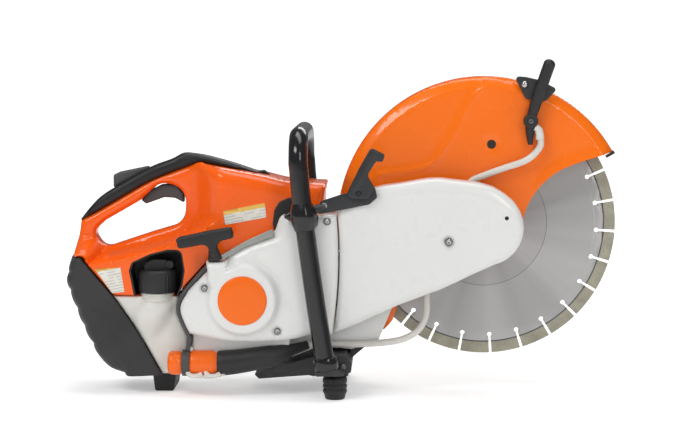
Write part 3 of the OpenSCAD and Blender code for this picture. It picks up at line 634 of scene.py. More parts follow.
def notice(name, header):
    """A blank vinyl notice: cream film, a coloured head band and soft grey bars, with no lettering."""
    f = Finish(name)
    x, _, z = f.apart()
    slope = f.math("SUBTRACT", z, f.math("MULTIPLY", x, 0.2))
    bars = f.math("GREATER_THAN", f.math("FRACT", f.math("MULTIPLY", slope, 260.0)), 0.55)
    patchy = f.math("GREATER_THAN", f.noise(90.0, 1.0), 0.42)
    head = f.math("GREATER_THAN", slope, header)
    paper = f.blend(f.noise(35.0, 3.0), (0.70, 0.68, 0.60), (0.80, 0.79, 0.73))
    paper = f.blend(f.math("MULTIPLY", f.math("MULTIPLY", bars, patchy), 0.45), paper, (0.32, 0.31, 0.29))
    f.set(Base_Color=f.blend(head, paper, (0.80, 0.50, 0.10)),
          Roughness=f.spread(f.noise(80.0, 2.0), 0.3, 0.42))
    f.dent(f.noise(300.0, 2.0), 0.08, 0.0001)
    return f


def filter_pleats():
    """Folded paper, with painted shade: one dark line to each fold."""
    f = Finish("filter_pleats")
    x, _, _ = f.apart()
    fold_relief_and_shade = f.math("SINE", f.math("MULTIPLY", x, 1500.0))
    # The colour is painted shade: darker in each fold, lighter on each crest.
    f.set(Base_Color=f.blend(f.spread(fold_relief_and_shade, 0.0, 1.0, -1.0, 1.0), (0.42, 0.38, 0.28), (0.72, 0.68, 0.56)),
          Roughness=f.spread(f.noise(200.0, 3.0), 0.7, 0.9))
    f.dent(fold_relief_and_shade, 0.7, 0.001)
    return f


FINISHES = {
    "hood_plastic": lambda: moulded_plastic("hood_plastic", colours().hood[:], (0.20, 0.30), 0.3, 0, 0.96),
    "guard_coat": lambda: powder_coat("guard_coat", colours().guard[:]),
    "cover_plastic": lambda: moulded_plastic(
        "cover_plastic", colours().cover[:], (0.24, 0.34), 0.35, 0, 0.98),
    "tank_resin": tank_resin,
    "cast_light": lambda: machined("cast_light", (0.62, 0.62, 0.61), (0.45, 0.65), 120.0, 0.4),
    # Painted shade: a darker grey for the strip that stands in for the starter cover's shaded facet.
    "satin_strip": lambda: machined("satin_strip", (0.36, 0.36, 0.34), (0.4, 0.55), 160.0, 0.5),
    "cast_white": lambda: powder_coat("cast_white", colours().cover[:]),
    "cast_dark": lambda: machined("cast_dark", (0.045, 0.045, 0.048), (0.4, 0.6), 140.0, 0.3),
    "handle_lacquer": handle_lacquer,
    "soft_black": lambda: rubbery("soft_black", (0.018, 0.018, 0.019), (0.42, 0.58), 0.35),
    "skid_grain": lambda: rubbery("skid_grain", colours().rubber[:], (0.50, 0.64), 0.6, 700.0),
    "grip_grain": lambda: rubbery("grip_grain", shaded(colours().rubber[:], 0.3), (0.42, 0.55), 0.45),
    "trigger_grain": lambda: rubbery("trigger_grain", colours().trigger[:], (0.4, 0.52), 0.3),
    "seal_rubber": lambda: rubbery("seal_rubber", (0.075, 0.076, 0.078), (0.45, 0.6), 0.3),
    "dark_plate": lambda: rubbery("dark_plate", (0.026, 0.027, 0.029), (0.34, 0.48), 0.2, 500.0),
    "steel_bright": lambda: machined("steel_bright", (0.62, 0.62, 0.61), (0.18, 0.34)),
    "steel_dark": lambda: machined("steel_dark", (0.22, 0.22, 0.23), (0.28, 0.46)),
    "ground_core": ground_core,
    "diamond_bond": diamond_bond,
    "hose_vinyl": hose_vinyl,
    "coupling_plastic": lambda: moulded_plastic(
        "coupling_plastic", (0.95, 0.15, 0.006), (0.28, 0.4), 0.2, 0.05),
    "emblem_film": lambda: moulded_plastic("emblem_film", (0.93, 0.155, 0.004), (0.3, 0.42), 0.15, 0.02),
    "notice_rear": lambda: notice("notice_rear", 0.2262),
    "notice_front": lambda: notice("notice_front", 0.2682),
    "filter_pleats": filter_pleats,
    "ceramic": lambda: moulded_plastic("ceramic", (0.80, 0.79, 0.75), (0.12, 0.2), 0.7),
}
made_finishes = {}


def finish(name):
    if name not in made_finishes:
        made_finishes[name] = FINISHES[name]().material
    return made_finishes[name]


def dress(nodes, name, edge=0.8):
    """Gives carried-over CAD nodes their finish and softens their edges."""
    for node in nodes.split():
        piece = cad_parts[node]
        if not piece.material_slots:
            piece.data.materials.append(None)
        for s in piece.material_slots:
            s.material = finish(name)
        weld = piece.modifiers.new("Weld", "WELD")
        weld.merge_threshold = 0.00002
        if edge:
            bevel = piece.modifiers.new("Bevel", "BEVEL")
            bevel.width, bevel.segments, bevel.limit_method = edge * MM, 2, "ANGLE"
            bevel.angle_limit = math.radians(38)
        piece.data.polygons.foreach_set("use_smooth", [True] * len(piece.data.polygons))
        piece.data.set_sharp_from_angle(angle=math.radians(32))
        flat = piece.modifiers.new("Weighted Normal", "WEIGHTED_NORMAL")
        flat.weight, flat.keep_sharp = 90, True


def screw(shape, x, z, y, radius, head=1):
    """A flanged socket screw facing outward: its flange takes finish 0, and its head takes finish `head`."""
    flange = [[0.01, -3], [radius, -3], [radius, 0.2], [radius * 0.94, 0.7], [radius * 0.66, 0.7],
              [radius * 0.66, -1], [0.01, -1]]
    shape.turned((x, y, z), OUTWARD, flange, 36)
    inner = 0.64 * radius
    socket = [[0.01, -2], [inner, -2], [inner, 1.2], [inner * 0.85, 1.7], [inner * 0.62, 1.7],
              [inner * 0.5, -0.6], [0.01, -0.8]]
    shape.turned((x, y, z), OUTWARD, socket, 36, lambda h, a: 0.2 * math.cos(6 * a) if h < 0 else 0, head)
    return shape


# ---- operators ---------------------------------------------------------------------------------
class SawPiece:
    """What every building operator shares."""

    bl_options = {"REGISTER", "UNDO"}

    def execute(self, context):
        self.build()
        return {"FINISHED"}


class SAW_OT_camera(SawPiece, bpy.types.Operator):
    """Place the camera in front of the saw's near side, a little above it."""

    bl_idname = "saw.camera"
    bl_label = "Camera"

    def build(self):
        data = bpy.data.cameras.new("saw_camera")
        camera = bpy.data.objects.new("saw_camera", data)
        bpy.context.scene.collection.objects.link(camera)
        distance = sizes().camera_distance
        turn, lift = math.radians(1.5), math.radians(5.0)
        back = Vector((math.sin(turn) * math.cos(lift), -math.cos(turn) * math.cos(lift), math.sin(lift)))
        seen_width = 0.9226
        data.sensor_width = 36.0
        data.lens = data.sensor_width * distance / seen_width
        camera.location = Vector((0.0044, 0.0, 0.2210)) + back * distance
        camera.rotation_mode = "QUATERNION"
        camera.rotation_quaternion = (-back).to_track_quat("-Z", "Y")
        data.clip_end = 200.0
        bpy.context.scene.camera = camera


UPPER_ROUTE = [[160, -40.3, 242], [164, -40.3, 264], [173, -40.5, 281], [189, -42, 289], [216, -43, 299],
               [242, -44, 308], [256, -45, 318], [264, -46, 330], [263, -46, 342]]
LOWER_ROUTE = [[-41.6, -59.9, 66.1], [-26, -55.5, 68], [-10, -52, 66], [28, -50.5, 66], [66, -50.5, 69],
               [87, -50.5, 74], [104, -50, 85], [114, -48, 104], [115, -44, 128], [118, -41.2, 150],
               [126, -40.4, 180], [142, -40.4, 206]]


class SAW_OT_water(SawPiece, bpy.types.Operator):
    """Lay the water hoses, the coupling, its sleeve and the spray elbow."""

    bl_idname = "saw.water"
    bl_label = "Water supply"

    def build(self):
        radius = sizes().hose_radius / MM
        route = curve(LOWER_ROUTE + UPPER_ROUTE, 6)
        hose = Shape().tube(route, radius, 18).make(
            "water_hose", None, "hose_vinyl", "hose_white", ("water_hose_lower", "water_hose_upper"), 60)
        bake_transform(hose)
        elbow = Shape()
        bend = curve([[263, -46, 337], [262.6, -46, 345], [260.6, -46.2, 350.5], [256.5, -46.4, 353.5]], 5)
        elbow.tube(bend, np.interp(np.arange(len(bend)), [0, 4, 5, len(bend) - 1], [5.6, 5.6, 5.0, 4.6]), 20)
        elbow.turned((262.5, -34, 347), OUTWARD, [[0.01, 0], [4.4, 0], [4.4, 9], [3.6, 12], [0.01, 12]], 24)
        elbow.make("spray_elbow", GUARD, "hose_vinyl", "hose_white", (), 50)
        dress("spray_nozzles", "hose_vinyl", 0.4)
        coupling = Shape()
        axis, origin = (1, 0, 0), (-225, -77, 44)
        collar = [[6.5, 7], [6.5, 0.6], [8, 0], [11.5, 0.2], [14.2, 1.6], [15.3, 4.2], [15.6, 8],
                  [15.4, 15.5], [14.6, 17], [14.0, 19], [14.0, 30], [15.6, 30.4], [16.2, 31.4], [16.4, 34],
                  [16.4, 58], [16.0, 60.6], [15, 61.6], [14.2, 63], [14.2, 66], [0.01, 66]]
        coupling.turned(origin, axis, [[0.01, 12], [6.5, 12]] + collar, 72,
                        lambda h, a: 0.28 * max(0.0, math.cos(26 * a)) if 3 < h < 16 or 33 < h < 59 else 0)
        coupling.make("hose_coupling", SAW, "coupling_plastic", "coupling_orange", ("water_coupling",))
        latch = Shape()
        for x in (-193, -169):
            ear = [[x - 6, -88, 34], [x - 2, -90, 29.5], [x + 6, -90, 28.6], [x + 13, -88, 31.5]]
            latch.tube(curve(ear, 5), 3.1, 14)
        strap = [[-199, -84, 33], [-190, -86, 28.4], [-170, -86, 27.2], [-150, -84, 30.4]]
        latch.tube(curve(strap, 5), 2.6, 14)
        latch.make("hose_latch", SAW, "hose_vinyl", "hose_white", (), 50)
        sleeve = Shape()
        path = curve([[-160, -77, 44], [-150, -77, 44.2], [-133, -77, 46], [-110, -76.5, 49.5],
                      [-86, -74, 53.5], [-62, -67, 60.5], [-42, -60, 66]], 6)
        wide = np.interp(path[:, 0], [-160, -157, -150, -90, -72, -62, -42],
                         [15.2, 16.4, 16.6, 14.6, 10.8, 7.6, 5.8])
        sleeve.tube(path, wide, 32)
        sleeve.make("hose_sleeve_skin", SAW, "soft_black", "soft_black", ("hose_sleeve",), 60)


class SAW_OT_starter_cover(SawPiece, bpy.types.Operator):
    """Mould the white starter cover with its round boss, its rope tower and the blank badge."""

    bl_idname = "saw.starter_cover"
    bl_label = "Starter cover"

    def build(self):
        edge = sizes().cover_roll / MM
        tower = [[-161.4, 184], [-157, 162], [-150, 146], [-143, 136]]
        marks = join(round_mark(CRANK, 36, 38.5, 40.5, 42, 43.5, 45, 46.5, 48.5, 51, steps=64),
                     *[beside(curve(tower, 6), k) for k in (10, -10, 13, -13, 16, -16)],
                     *[round_mark(at, 5.4, 6.6, 8, steps=24) for at in (REAR_SCREW, LOW_SCREW)])
        plate = Plate(starter_outline(), (), sizes().face_step / MM, rings_for(edge), marks, 4)
        p, d = plate.points, plate.edge
        boss = 8.8 * smooth((50 - np.linalg.norm(p - CRANK, axis=1)) / 9)
        rise = 8.2 * smooth((16.5 - to_line(p, tower)) / 5.0)
        lift = np.maximum(boss, rise) * smooth(d / 2.5)
        bank = to_line(p, [[-148, 184], [-144, 193], [-119, 207], [-84, 219], [-76, 240]])
        crease = to_line(p, [[-112, 196], [-82, 160], [-66, 128]])
        front = -99.4 + roll(d, edge) - lift + 1.1 * np.exp(-(crease / 7) ** 2) + 2.2 * smooth((22 - d) / 22)
        front += 5.0 * smooth((12 - bank) / 6) * (lift < 1)
        for centre in (REAR_SCREW, LOW_SCREW):
            front += 2.2 * smooth((8 - np.linalg.norm(p - centre, axis=1)) / 2.4)
        shape = Shape().plate(plate, front, COVER_BACK)
        shape.make("starter_shell", SAW, "cover_plastic", "cover_white", ("starter_cover",), 42)
        disc = [[0.01, 0], [32, 0], [32, 4.6], [31.4, 5.4], [30, 5.9], [20, 6.3], [8, 6.5], [0.01, 6.5]]
        badge = Shape().turned((CRANK[0], -104, CRANK[1]), OUTWARD, disc, 96)
        # Painted shade: a grey strip along the cover's upper edge stands in for the darker facet there.
        strip = [[-159, 184.6], [-119, 208], [-86.4, 222.4], [-83.6, 213.4], [-120.8, 199.6], [-154, 180.2]]
        bevelled(strip, -97.2, -88, 1.2, 4).make("cover_shade_strip", SAW, "satin_strip", "cast_light", (), 40)
        badge.make("badge_disc", SAW, "emblem_film", "guard_orange", ("emblem_disc",), 40)
        screws = Shape()
        for (x, z), y, radius in ((REAR_SCREW, -97.6, 4.6), (LOW_SCREW, -97.4, 4.6),
                                  (SEAM_SCREW, -99.5, 5), (ARM_SCREW, -94.2, 5.4)):
            screw(screws, x, z, y, radius)
        screws.make("socket_screws", SAW, ["steel_dark", "steel_bright"], "steel_bright",
                    ("cover_screws",), 30)


class SAW_OT_belt_cover(SawPiece, bpy.types.Operator):
    """Mould the long white belt cover with its sloped upper shoulder and the locking-pin hole."""

    bl_idname = "saw.belt_cover"
    bl_label = "Belt cover"

    def build(self):
        edge = 0.8 * sizes().cover_roll / MM
        ridge = curve([[2, 240], [40, 258], [84, 268], [122, 272], [160, 270], [196, 262], [222, 246],
                       [234, 228]], 6)
        hollow = curve([[0, 104], [36, 116], [80, 134], [120, 148]], 4)
        pin = np.array([218.0, 237.0])
        hole = arc(pin, 2.75, 0, 345, 23)
        marks = join(ridge, *[beside(ridge, k) for k in (3, -3, 6, -6)],
                     round_mark(pin, 3.8, 5, 6.4, steps=24), round_mark(ARM_SCREW, 6.2, 7.6, 9, steps=24),
                     beside(hollow, 3), beside(hollow, -3), hollow)
        plate = Plate(belt_outline(), (hole,), sizes().face_step / MM, rings_for(edge), marks, 4)
        p = plate.points
        d = to_line(p, plate.loops[0], True)
        away = to_line(p, ridge)
        above = np.interp(p[:, 0], ridge[:, 0], ridge[:, 1]) < p[:, 1]
        front = -93.4 + roll(d, edge)
        front += np.where(above, 3.4 * smooth(away / 16), -0.5 * np.exp(-(away / 5) ** 2))
        below = np.interp(p[:, 0], hollow[:, 0], hollow[:, 1]) > p[:, 1]
        front += np.where(below & (p[:, 0] < 125), 2.2 * smooth(to_line(p, hollow) / 12), 0)
        front += 1.6 * smooth((9 - np.linalg.norm(p - ARM_SCREW, axis=1)) / 2.8)
        front -= 0.5 * smooth((6.4 - np.linalg.norm(p - pin, axis=1)) / 2)
        shape = Shape().plate(plate, front, COVER_BACK)
        shape.make("belt_shell", SAW, "cover_plastic", "cover_white", ("belt_cover",), 42)


class SAW_OT_guard(SawPiece, bpy.types.Operator):
    """Press the wheel guard's face, its rolled rim band and the far lip out of sheet steel."""

    bl_idname = "saw.guard"
    bl_label = "Wheel guard"

    def build(self):
        outer, thick, face_at = 195.0, 2.5, -33.8
        shoulder = sizes().guard_shoulder / MM
        ridge = curve([[190, 404], [176, 392], [162, 366], [140, 328], [122, 304], [96, 296], [52, 290]], 6)
        lower = beside(GUARD_EDGE, -9)
        sight = np.array([200.0, 330.0])
        face = join(arc(SPINDLE, outer, 30, 227, 100), [[70, 96], [77, 119]], arc(SPINDLE, 38, 222, 330, 18),
                    GUARD_EDGE[::-1])
        insets = (0.3, 1, 2, 3.2, 5, 8, 11, 13, 14.4, 16)
        rings = join(*[arc(SPINDLE, outer - inset, 29, 228, 100) for inset in insets])
        marks = join(rings, ridge, *[beside(ridge, k) for k in (2.5, -2.5, 5, -5)],
                     lower, *[beside(lower, k) for k in (3, -3)], round_mark(sight, 7.2, 9, 11, steps=30))
        plate = Plate(face, (arc(sight, 6, 0, 348, 29),), sizes().face_step / MM, (), marks, 3.4)
        p = plate.points
        radius = np.linalg.norm(p - SPINDLE, axis=1)
        away = to_line(p, ridge)
        ahead = (p[:, 0] > np.interp(p[:, 1], ridge[::-1, 1], ridge[::-1, 0])) | (p[:, 1] < 290)
        band = outer - radius
        face_y = face_at + roll(band, 4) + (shoulder - 4) * np.clip(1 - band / 14, 0, 1) ** 1.1
        face_y += np.where(ahead, 0, 1.6 * smooth(away / 7)) - 0.7 * np.exp(-(away / 2.6) ** 2)
        lip = 2.6 * smooth((11 - to_line(p, GUARD_EDGE)) / 5) * smooth((p[:, 0] - 250) / 30)
        face_y -= lip * smooth((outer - radius) / 16)
        face_y += 0.8 * smooth((11 - np.linalg.norm(p - sight, axis=1)) / 3)
        shape = Shape().plate(plate, face_y, face_y + thick)
        depth = face_at + shoulder
        section = [[outer, depth - 0.4], [outer, 17], [194.4, 19.4], [193, 21.2], [190.5, 22], [146, 22],
                   [140, 21.6], [140, 19.8], [189, 19.5], [191.6, 18.6], [192.5, 16.5], [192.5, depth + 1.4]]
        angles = np.radians(np.linspace(30, 227, 120))
        vertices = [(SPINDLE[0] + r * math.cos(a), y, SPINDLE[1] + r * math.sin(a))
                    for a in angles for r, y in section]
        n, faces = len(section), []
        for i in range(len(angles) - 1):
            for k in range(n):
                a, b, m = i * n, (i + 1) * n, (k + 1) % n
                faces.append((a + k, a + m, b + m, b + k))
        faces += [tuple(range(n))[::-1], tuple((len(angles) - 1) * n + k for k in range(n))]
        shape.add(vertices, faces)
        shape.turned((SPINDLE[0], -31, SPINDLE[1]), OUTWARD,
                     [[22.4, 0], [34, 0], [34, 5], [33, 6.4], [31, 7], [22.4, 7], [22.4, 0]], 72)
        # Painted shade: a dark disc behind the sight hole stands in for the dark inside of the guard.
        hole_shade = Shape().turned((sight[0], -31, sight[1]), (0, 1, 0),
                                [[0.01, 0], [8.5, 0], [8.5, 1.5], [0.01, 1.5]], 32)
        hole_shade.make("sight_hole_shade", GUARD, "soft_black", "soft_black", (), 40)
        shape.make("guard_pressing", GUARD, "guard_coat", "guard_orange", ("wheel_guard",), 38)


class SAW_OT_guard_handle(SawPiece, bpy.types.Operator):
    """Make the guard's adjusting handle, its bracket plate and its screws."""

    bl_idname = "saw.guard_handle"
    bl_label = "Guard handle"

    def build(self):
        lever = curve([[250.5, -44.5, 330], [250, -44.5, 344], [250.6, -44.5, 358], [254, -44.5, 374],
                       [262, -44.5, 398], [270, -44.5, 422], [275, -44.5, 436]], 6)
        wide = np.interp(lever[:, 2], [330, 344, 356, 368, 380, 400, 436, 441],
                         [3.0, 5.4, 6.8, 6.6, 7.4, 7.8, 7.9, 7.9])
        shape = Shape().tube(lever, wide, 28)
        shape.turned((274.7, -44.5, 435.6), (0.36, 0, 0.93), ball_profile(7.9, 0, 6.6, 7), 28)
        knuckle = [[0.01, 0], [8.6, 0], [9.6, 4], [9.6, 16.4], [9.0, 17.6], [7.4, 18.2], [5.0, 18.2],
                   [4.8, 17.2], [0.01, 17.2]]
        shape.turned((251, -34, 361), OUTWARD, knuckle, 40)
        shape.make("guard_lever", GUARD, "soft_black", "soft_black", ("guard_handle",), 40)
        bracket = rounded([[229, 420, 4], [244, 419, 0], [262, 415, 6], [286, 403, 4], [270, 386, 7],
                           [244, 390, 7]])
        plate = bevelled(bracket, -39.5, -33.4, 1.6, 5)
        plate.make("lever_plate", GUARD, "dark_plate", "cast_dark", (), 40)
        screws = Shape()
        screws.turned((243, -38, 409), OUTWARD,
                      [[0.01, 0], [4.6, 0], [4.6, 2.4], *ball_profile(4.4, 2.6, 2.6)], 28, None, 1)
        screw(screws, 251, 361, -51.0, 3.6)
        screws.make("lever_screws", GUARD, ["steel_dark", "steel_bright"], "steel_bright", (), 40)
        dress("guard_lip", "soft_black", 0.8)


class SAW_OT_hood(SawPiece, bpy.types.Operator):
    """Mould the orange rear hood, both halves, with the rear handle's loop and the filler recess."""

    bl_idname = "saw.hood"
    bl_label = "Rear hood"

    def build(self):
        crest = [p for p in HOOD_TOP if p[0] > -97]
        top = join(GRIP_LOW, crest)
        outline = join(top, [[-21, 262], [-23, 176], [-150, 176], [-164, 184], [-168.5, 178], [-186, 158.5],
                             [-206.5, 135.5], [-210.5, 131], [-298.5, 131], [-341, 180.5], [-352, 181],
                             [-351.5, 200], [-349, 214]])
        outline = rounded([[x, z, 3 if x > -30 else 0] for x, z in outline], 3)
        body = join([p for p in GRIP_LOW if p[0] > -204], crest,
                    [[-21, 262], [-23, 170], [-160, 170], [-171, 180], [-189, 161], [-210, 137], [-214, 131],
                     [-298.5, 131], [-341.5, 181], [-315, 187], [-252, 202], [-215, 214], [-204, 226]])
        shelf = curve([[-204, 300], [-204, 226], [-215, 214], [-252, 202], [-315, 187], [-341, 181]], 8)
        lines = join(*[beside(shelf, k) for k in (0, 3.5, 7, 10.5, 14, 19, 26, 34, 42, 50)])
        trigger_slot = [[-277, 236], [-277, 262], [-262, 281], [-242, 289], [-220, 289], [-203, 281],
                        [-194, 264], [-194, 236]]
        grip_half, slot_half = 19, 9.4
        for name, side, holes, node in (("hood_near", -1, (OPENING, RECESS), "rear_housing_near"),
                                        ("hood_far", 1, (OPENING,), "rear_housing_far")):
            plate = Plate(outline, holes, sizes().face_step / MM, rings_for(9), lines, 4)
            p = plate.points
            inside = within(p, [body])
            into = np.where(inside, to_line(p, shelf), 0)
            wide = grip_half + 43 * smooth(into / (14.5 + 36 * smooth((p[:, 1] - 208) / 28)))
            flare = smooth((206 - p[:, 1]) / 24) * smooth((-316 - p[:, 0]) / 20)
            wide = np.maximum(wide, grip_half + 42 * flare)
            rim = np.min([to_line(p, plate.loops[0], True), to_line(p, plate.loops[1], True)], axis=0)
            upper = to_line(p, top)
            large = 9 + 7 * smooth((p[:, 0] + 190) / 30)
            fall = np.where(upper <= rim + 0.5, roll(upper, large), roll(rim, 9.0))
            lower = np.where((p[:, 1] < 190) | (p[:, 0] > -30), roll(rim, 3.0), fall)
            half = wide - np.where(p[:, 1] < 176, lower, np.minimum(fall, wide - 2))
            half = np.maximum(half, 3.0)
            face = side * half
            back = side * np.where(within(p, [trigger_slot]), np.minimum(slot_half, half - 0.6), 0.0)
            shape = Shape().plate(plate, face, back) if side < 0 else Shape().plate(plate, back, face)
            shape.make(name, SAW, "hood_plastic", "hood_orange", (node,), 40)
        scoop = rounded([[-58, 262.5, 3], [-66, 261, 8], [-79, 255.5, 10], [-85.5, 244.5, 12],
                         [-87.7, 227, 12], [-85, 211, 2], [-77, 212, 3], [-75.5, 228, 12], [-69, 240, 8],
                         [-58, 246, 3]])
        bevelled(scoop, -64.5, -56, 1.6, 4).make("hood_gasket", SAW, "soft_black", "soft_black", (), 40)
        dress("filler_recess", "soft_black", 0.6)
        notes = Shape()
        rear_film = [[-323, 166], [-289, 168], [-284, 136], [-300, 134]]
        front_film = rounded([[-153, 243, 2], [-98, 254, 2], [-96, 235, 2], [-150, 225, 2]])
        for mark, film in enumerate((rear_film, front_film)):
            notes.plate(Plate(film, (), 8), -62.5, -61.5, mark)
        notes.make("blank_notices", SAW, ["notice_rear", "notice_front"], "label_cream", ("labels",), 30)


class SAW_OT_grip(SawPiece, bpy.types.Operator):
    """Fit the soft cover along the top of the rear handle, the trigger and its lockout."""

    bl_idname = "saw.grip"
    bl_label = "Rear grip"

    def build(self):
        cut = [p for p in GRIP_TOP if p[0] < -106]
        low = [p + [0, -1.0] for p in GRIP_LOW if p[0] < -106]
        shape = bevelled(join(cut, low[::-1]), -20.6, 20.6, 6.5, 4.5)
        tab = rounded([[-112, 284, 1], [-109, 292.5, 3], [-102, 293.5, 2.5], [-95, 288, 1], [-96, 283, 1]])
        bevelled(tab, -9, 9, 2, 3, (), shape)
        shape.make("grip_skin", SAW, "grip_grain", "grip_dark", ("grip_cover",), 40)
        trigger = rounded([[-267, 253, 1], [-261, 248, 3], [-236, 257, 10], [-222, 256, 6],
                           [-209.6, 249.5, 1.5], [-209.6, 262, 5], [-220, 276, 4], [-240, 274, 4],
                           [-256, 266, 6]])
        bevelled(trigger, -8, 8, 3, 4).make(
            "trigger_lever", "throttle_trigger", "trigger_grain", "trigger_grey", ("throttle_trigger",), 40)
        lockout = rounded([[-304.5, 269.5, 1.5], [-304.5, 287, 4], [-296, 291, 6], [-257, 299, 2],
                           [-256, 295, 1], [-263, 291.5, 2]])
        bevelled(lockout, -7, 7, 2.6, 4).make(
            "lockout_lever", "trigger_lockout", "trigger_grain", "trigger_grey", ("trigger_lockout",), 40)


class SAW_OT_skid(SawPiece, bpy.types.Operator):
    """Mould the dark rear skid with its scalloped back."""

    bl_idname = "saw.skid"
    bl_label = "Rear skid"

    def build(self):
        back = curve([[-289, 23], [-306, 29], [-318, 39], [-327, 51], [-343, 83], [-357, 118], [-366, 145],
                      [-364.5, 162], [-359, 180]], 16)
        run = np.concatenate([[0], np.cumsum(np.linalg.norm(np.diff(back, axis=0), axis=1))])
        bite = np.abs(np.sin(np.pi * (run - 12) / 25.5)) ** 0.55
        amount = 2.6 * smooth((back[:, 1] - 36) / 20) * smooth((176 - back[:, 1]) / 16)
        back = back + ((1 - bite) * amount)[:, None] * [0.93, 0.35]
        outline = join(SKID_EDGE, [[-236, 25.5], [-262, 24]], back[1:])
        rear = curve([[-318, 39], [-327, 51], [-343, 83], [-357, 118], [-366, 145], [-366, 162]], 8)
        plate = Plate(outline, (), 4.2, [0.12, 0.5, 1.1, 2, 3.2, 4.8, 6.8, 9.2, 12, 15], None, 2.6)
        p = plate.points
        toe = to_line(p, back)
        front_edge = to_line(p, SKID_EDGE)
        crown = np.sqrt(np.clip(1 - (1 - np.clip((toe + 0.02) / 15, 0, 1)) ** 2.4, 0, 1))
        half = 65.5 * crown - np.where(toe < front_edge, 0, roll(front_edge, 2.5))
        half = np.maximum(half - 2.0 * smooth((34 - to_line(p, rear)) / 34), 0.6)
        shape = Shape().plate(plate, -half, half)
        shape.make("skid_shell", SAW, "skid_grain", "skid_black", ("rear_skid",), 40)
        dress("rear_foot", "soft_black", 2.0)


class SAW_OT_tank(SawPiece, bpy.types.Operator):
    """Blow the milky fuel tank with its filler neck and fit the ribbed cap."""

    bl_idname = "saw.tank"
    bl_label = "Fuel tank"

    def build(self):
        outline = join([[-299, 130], [-266, 82], [-235, 26.5]],
                       rounded([[-203, 26.5, 0], [-200.5, 40, 0], [-200.5, 76, 6], [-208, 94, 8],
                                [-215, 108, 8], [-213, 130, 0]]))
        lines = join(*[np.stack([np.full(17, x), np.linspace(66, 129, 17)], 1) for x in range(-278, -218, 4)])
        plate = Plate(outline, (), 4.0, rings_for(5, 4), lines, 3.5)
        p = plate.points
        cone = np.interp(p[:, 1], [64, 68, 76, 92, 108, 118, 124], [0, 6, 14, 23, 28.5, 26.5, 22.5])
        middle = np.interp(p[:, 1], [66, 108, 124], [-253, -248, CAP[0]])
        reach = 0.82 * np.sqrt(np.maximum(cone ** 2 - (p[:, 0] - middle) ** 2, 0)) + 50
        flat = 59.5 - roll(plate.edge, 5.0)
        blend = np.log(np.exp(flat / 1.6) + np.exp(np.minimum(reach, 72) / 1.6)) * 1.6
        near = np.where(p[:, 1] > 62, np.minimum(blend, 72), flat)
        shape = Shape().plate(plate, -near, flat)
        threads = [[14, 4], [21.5, 0], [21.5, 2]]
        for k in range(3):
            h = 2.4 + 2.6 * k
            threads += [[21.5, h], [22.7, h + 0.5], [22.7, h + 1.1], [21.5, h + 1.6]]
        threads += [[21.5, 10], [15, 10], [15, 4]]
        shape.turned(CAP_SEAT, UPWARD, threads, 56)
        shape.make("tank_shell", SAW, "tank_resin", "tank_white", ("fuel_tank",), 42)
        cap = Shape()
        profile = [[0.01, -4], [14, -4], [14, 10.4], [22.6, 10.6], [24.3, 11.4], [25, 13], [25, 35],
                   [24.4, 37.4], [22.6, 39.4], [21, 40.4], [18, 40.4], [17, 38.6], [0.01, 38.2]]
        cap.turned(CAP_SEAT, UPWARD, profile, 120,
                   lambda h, a: -0.9 * (0.5 - 0.5 * math.cos(30 * a)) ** 2 if 12 < h < 36 else 0)
        grip = rounded([[-259, 160, 2], [-259, 173, 5], [-248, 179, 5], [-229, 178, 6], [-223, 171, 4],
                        [-223, 160, 2]])
        bevelled(grip, -54.5, -45.5, 2.2, 4, (), cap)
        barrel = [[0.01, -7], [5, -7], [5.6, -6], [5.6, 6], [5, 7], [0.01, 7]]
        cap.turned((-224.5, -50, 171.5), OUTWARD, barrel, 28)
        cap.make("filler_cap", "fuel_cap", "soft_black", "soft_black", ("fuel_cap",), 34)


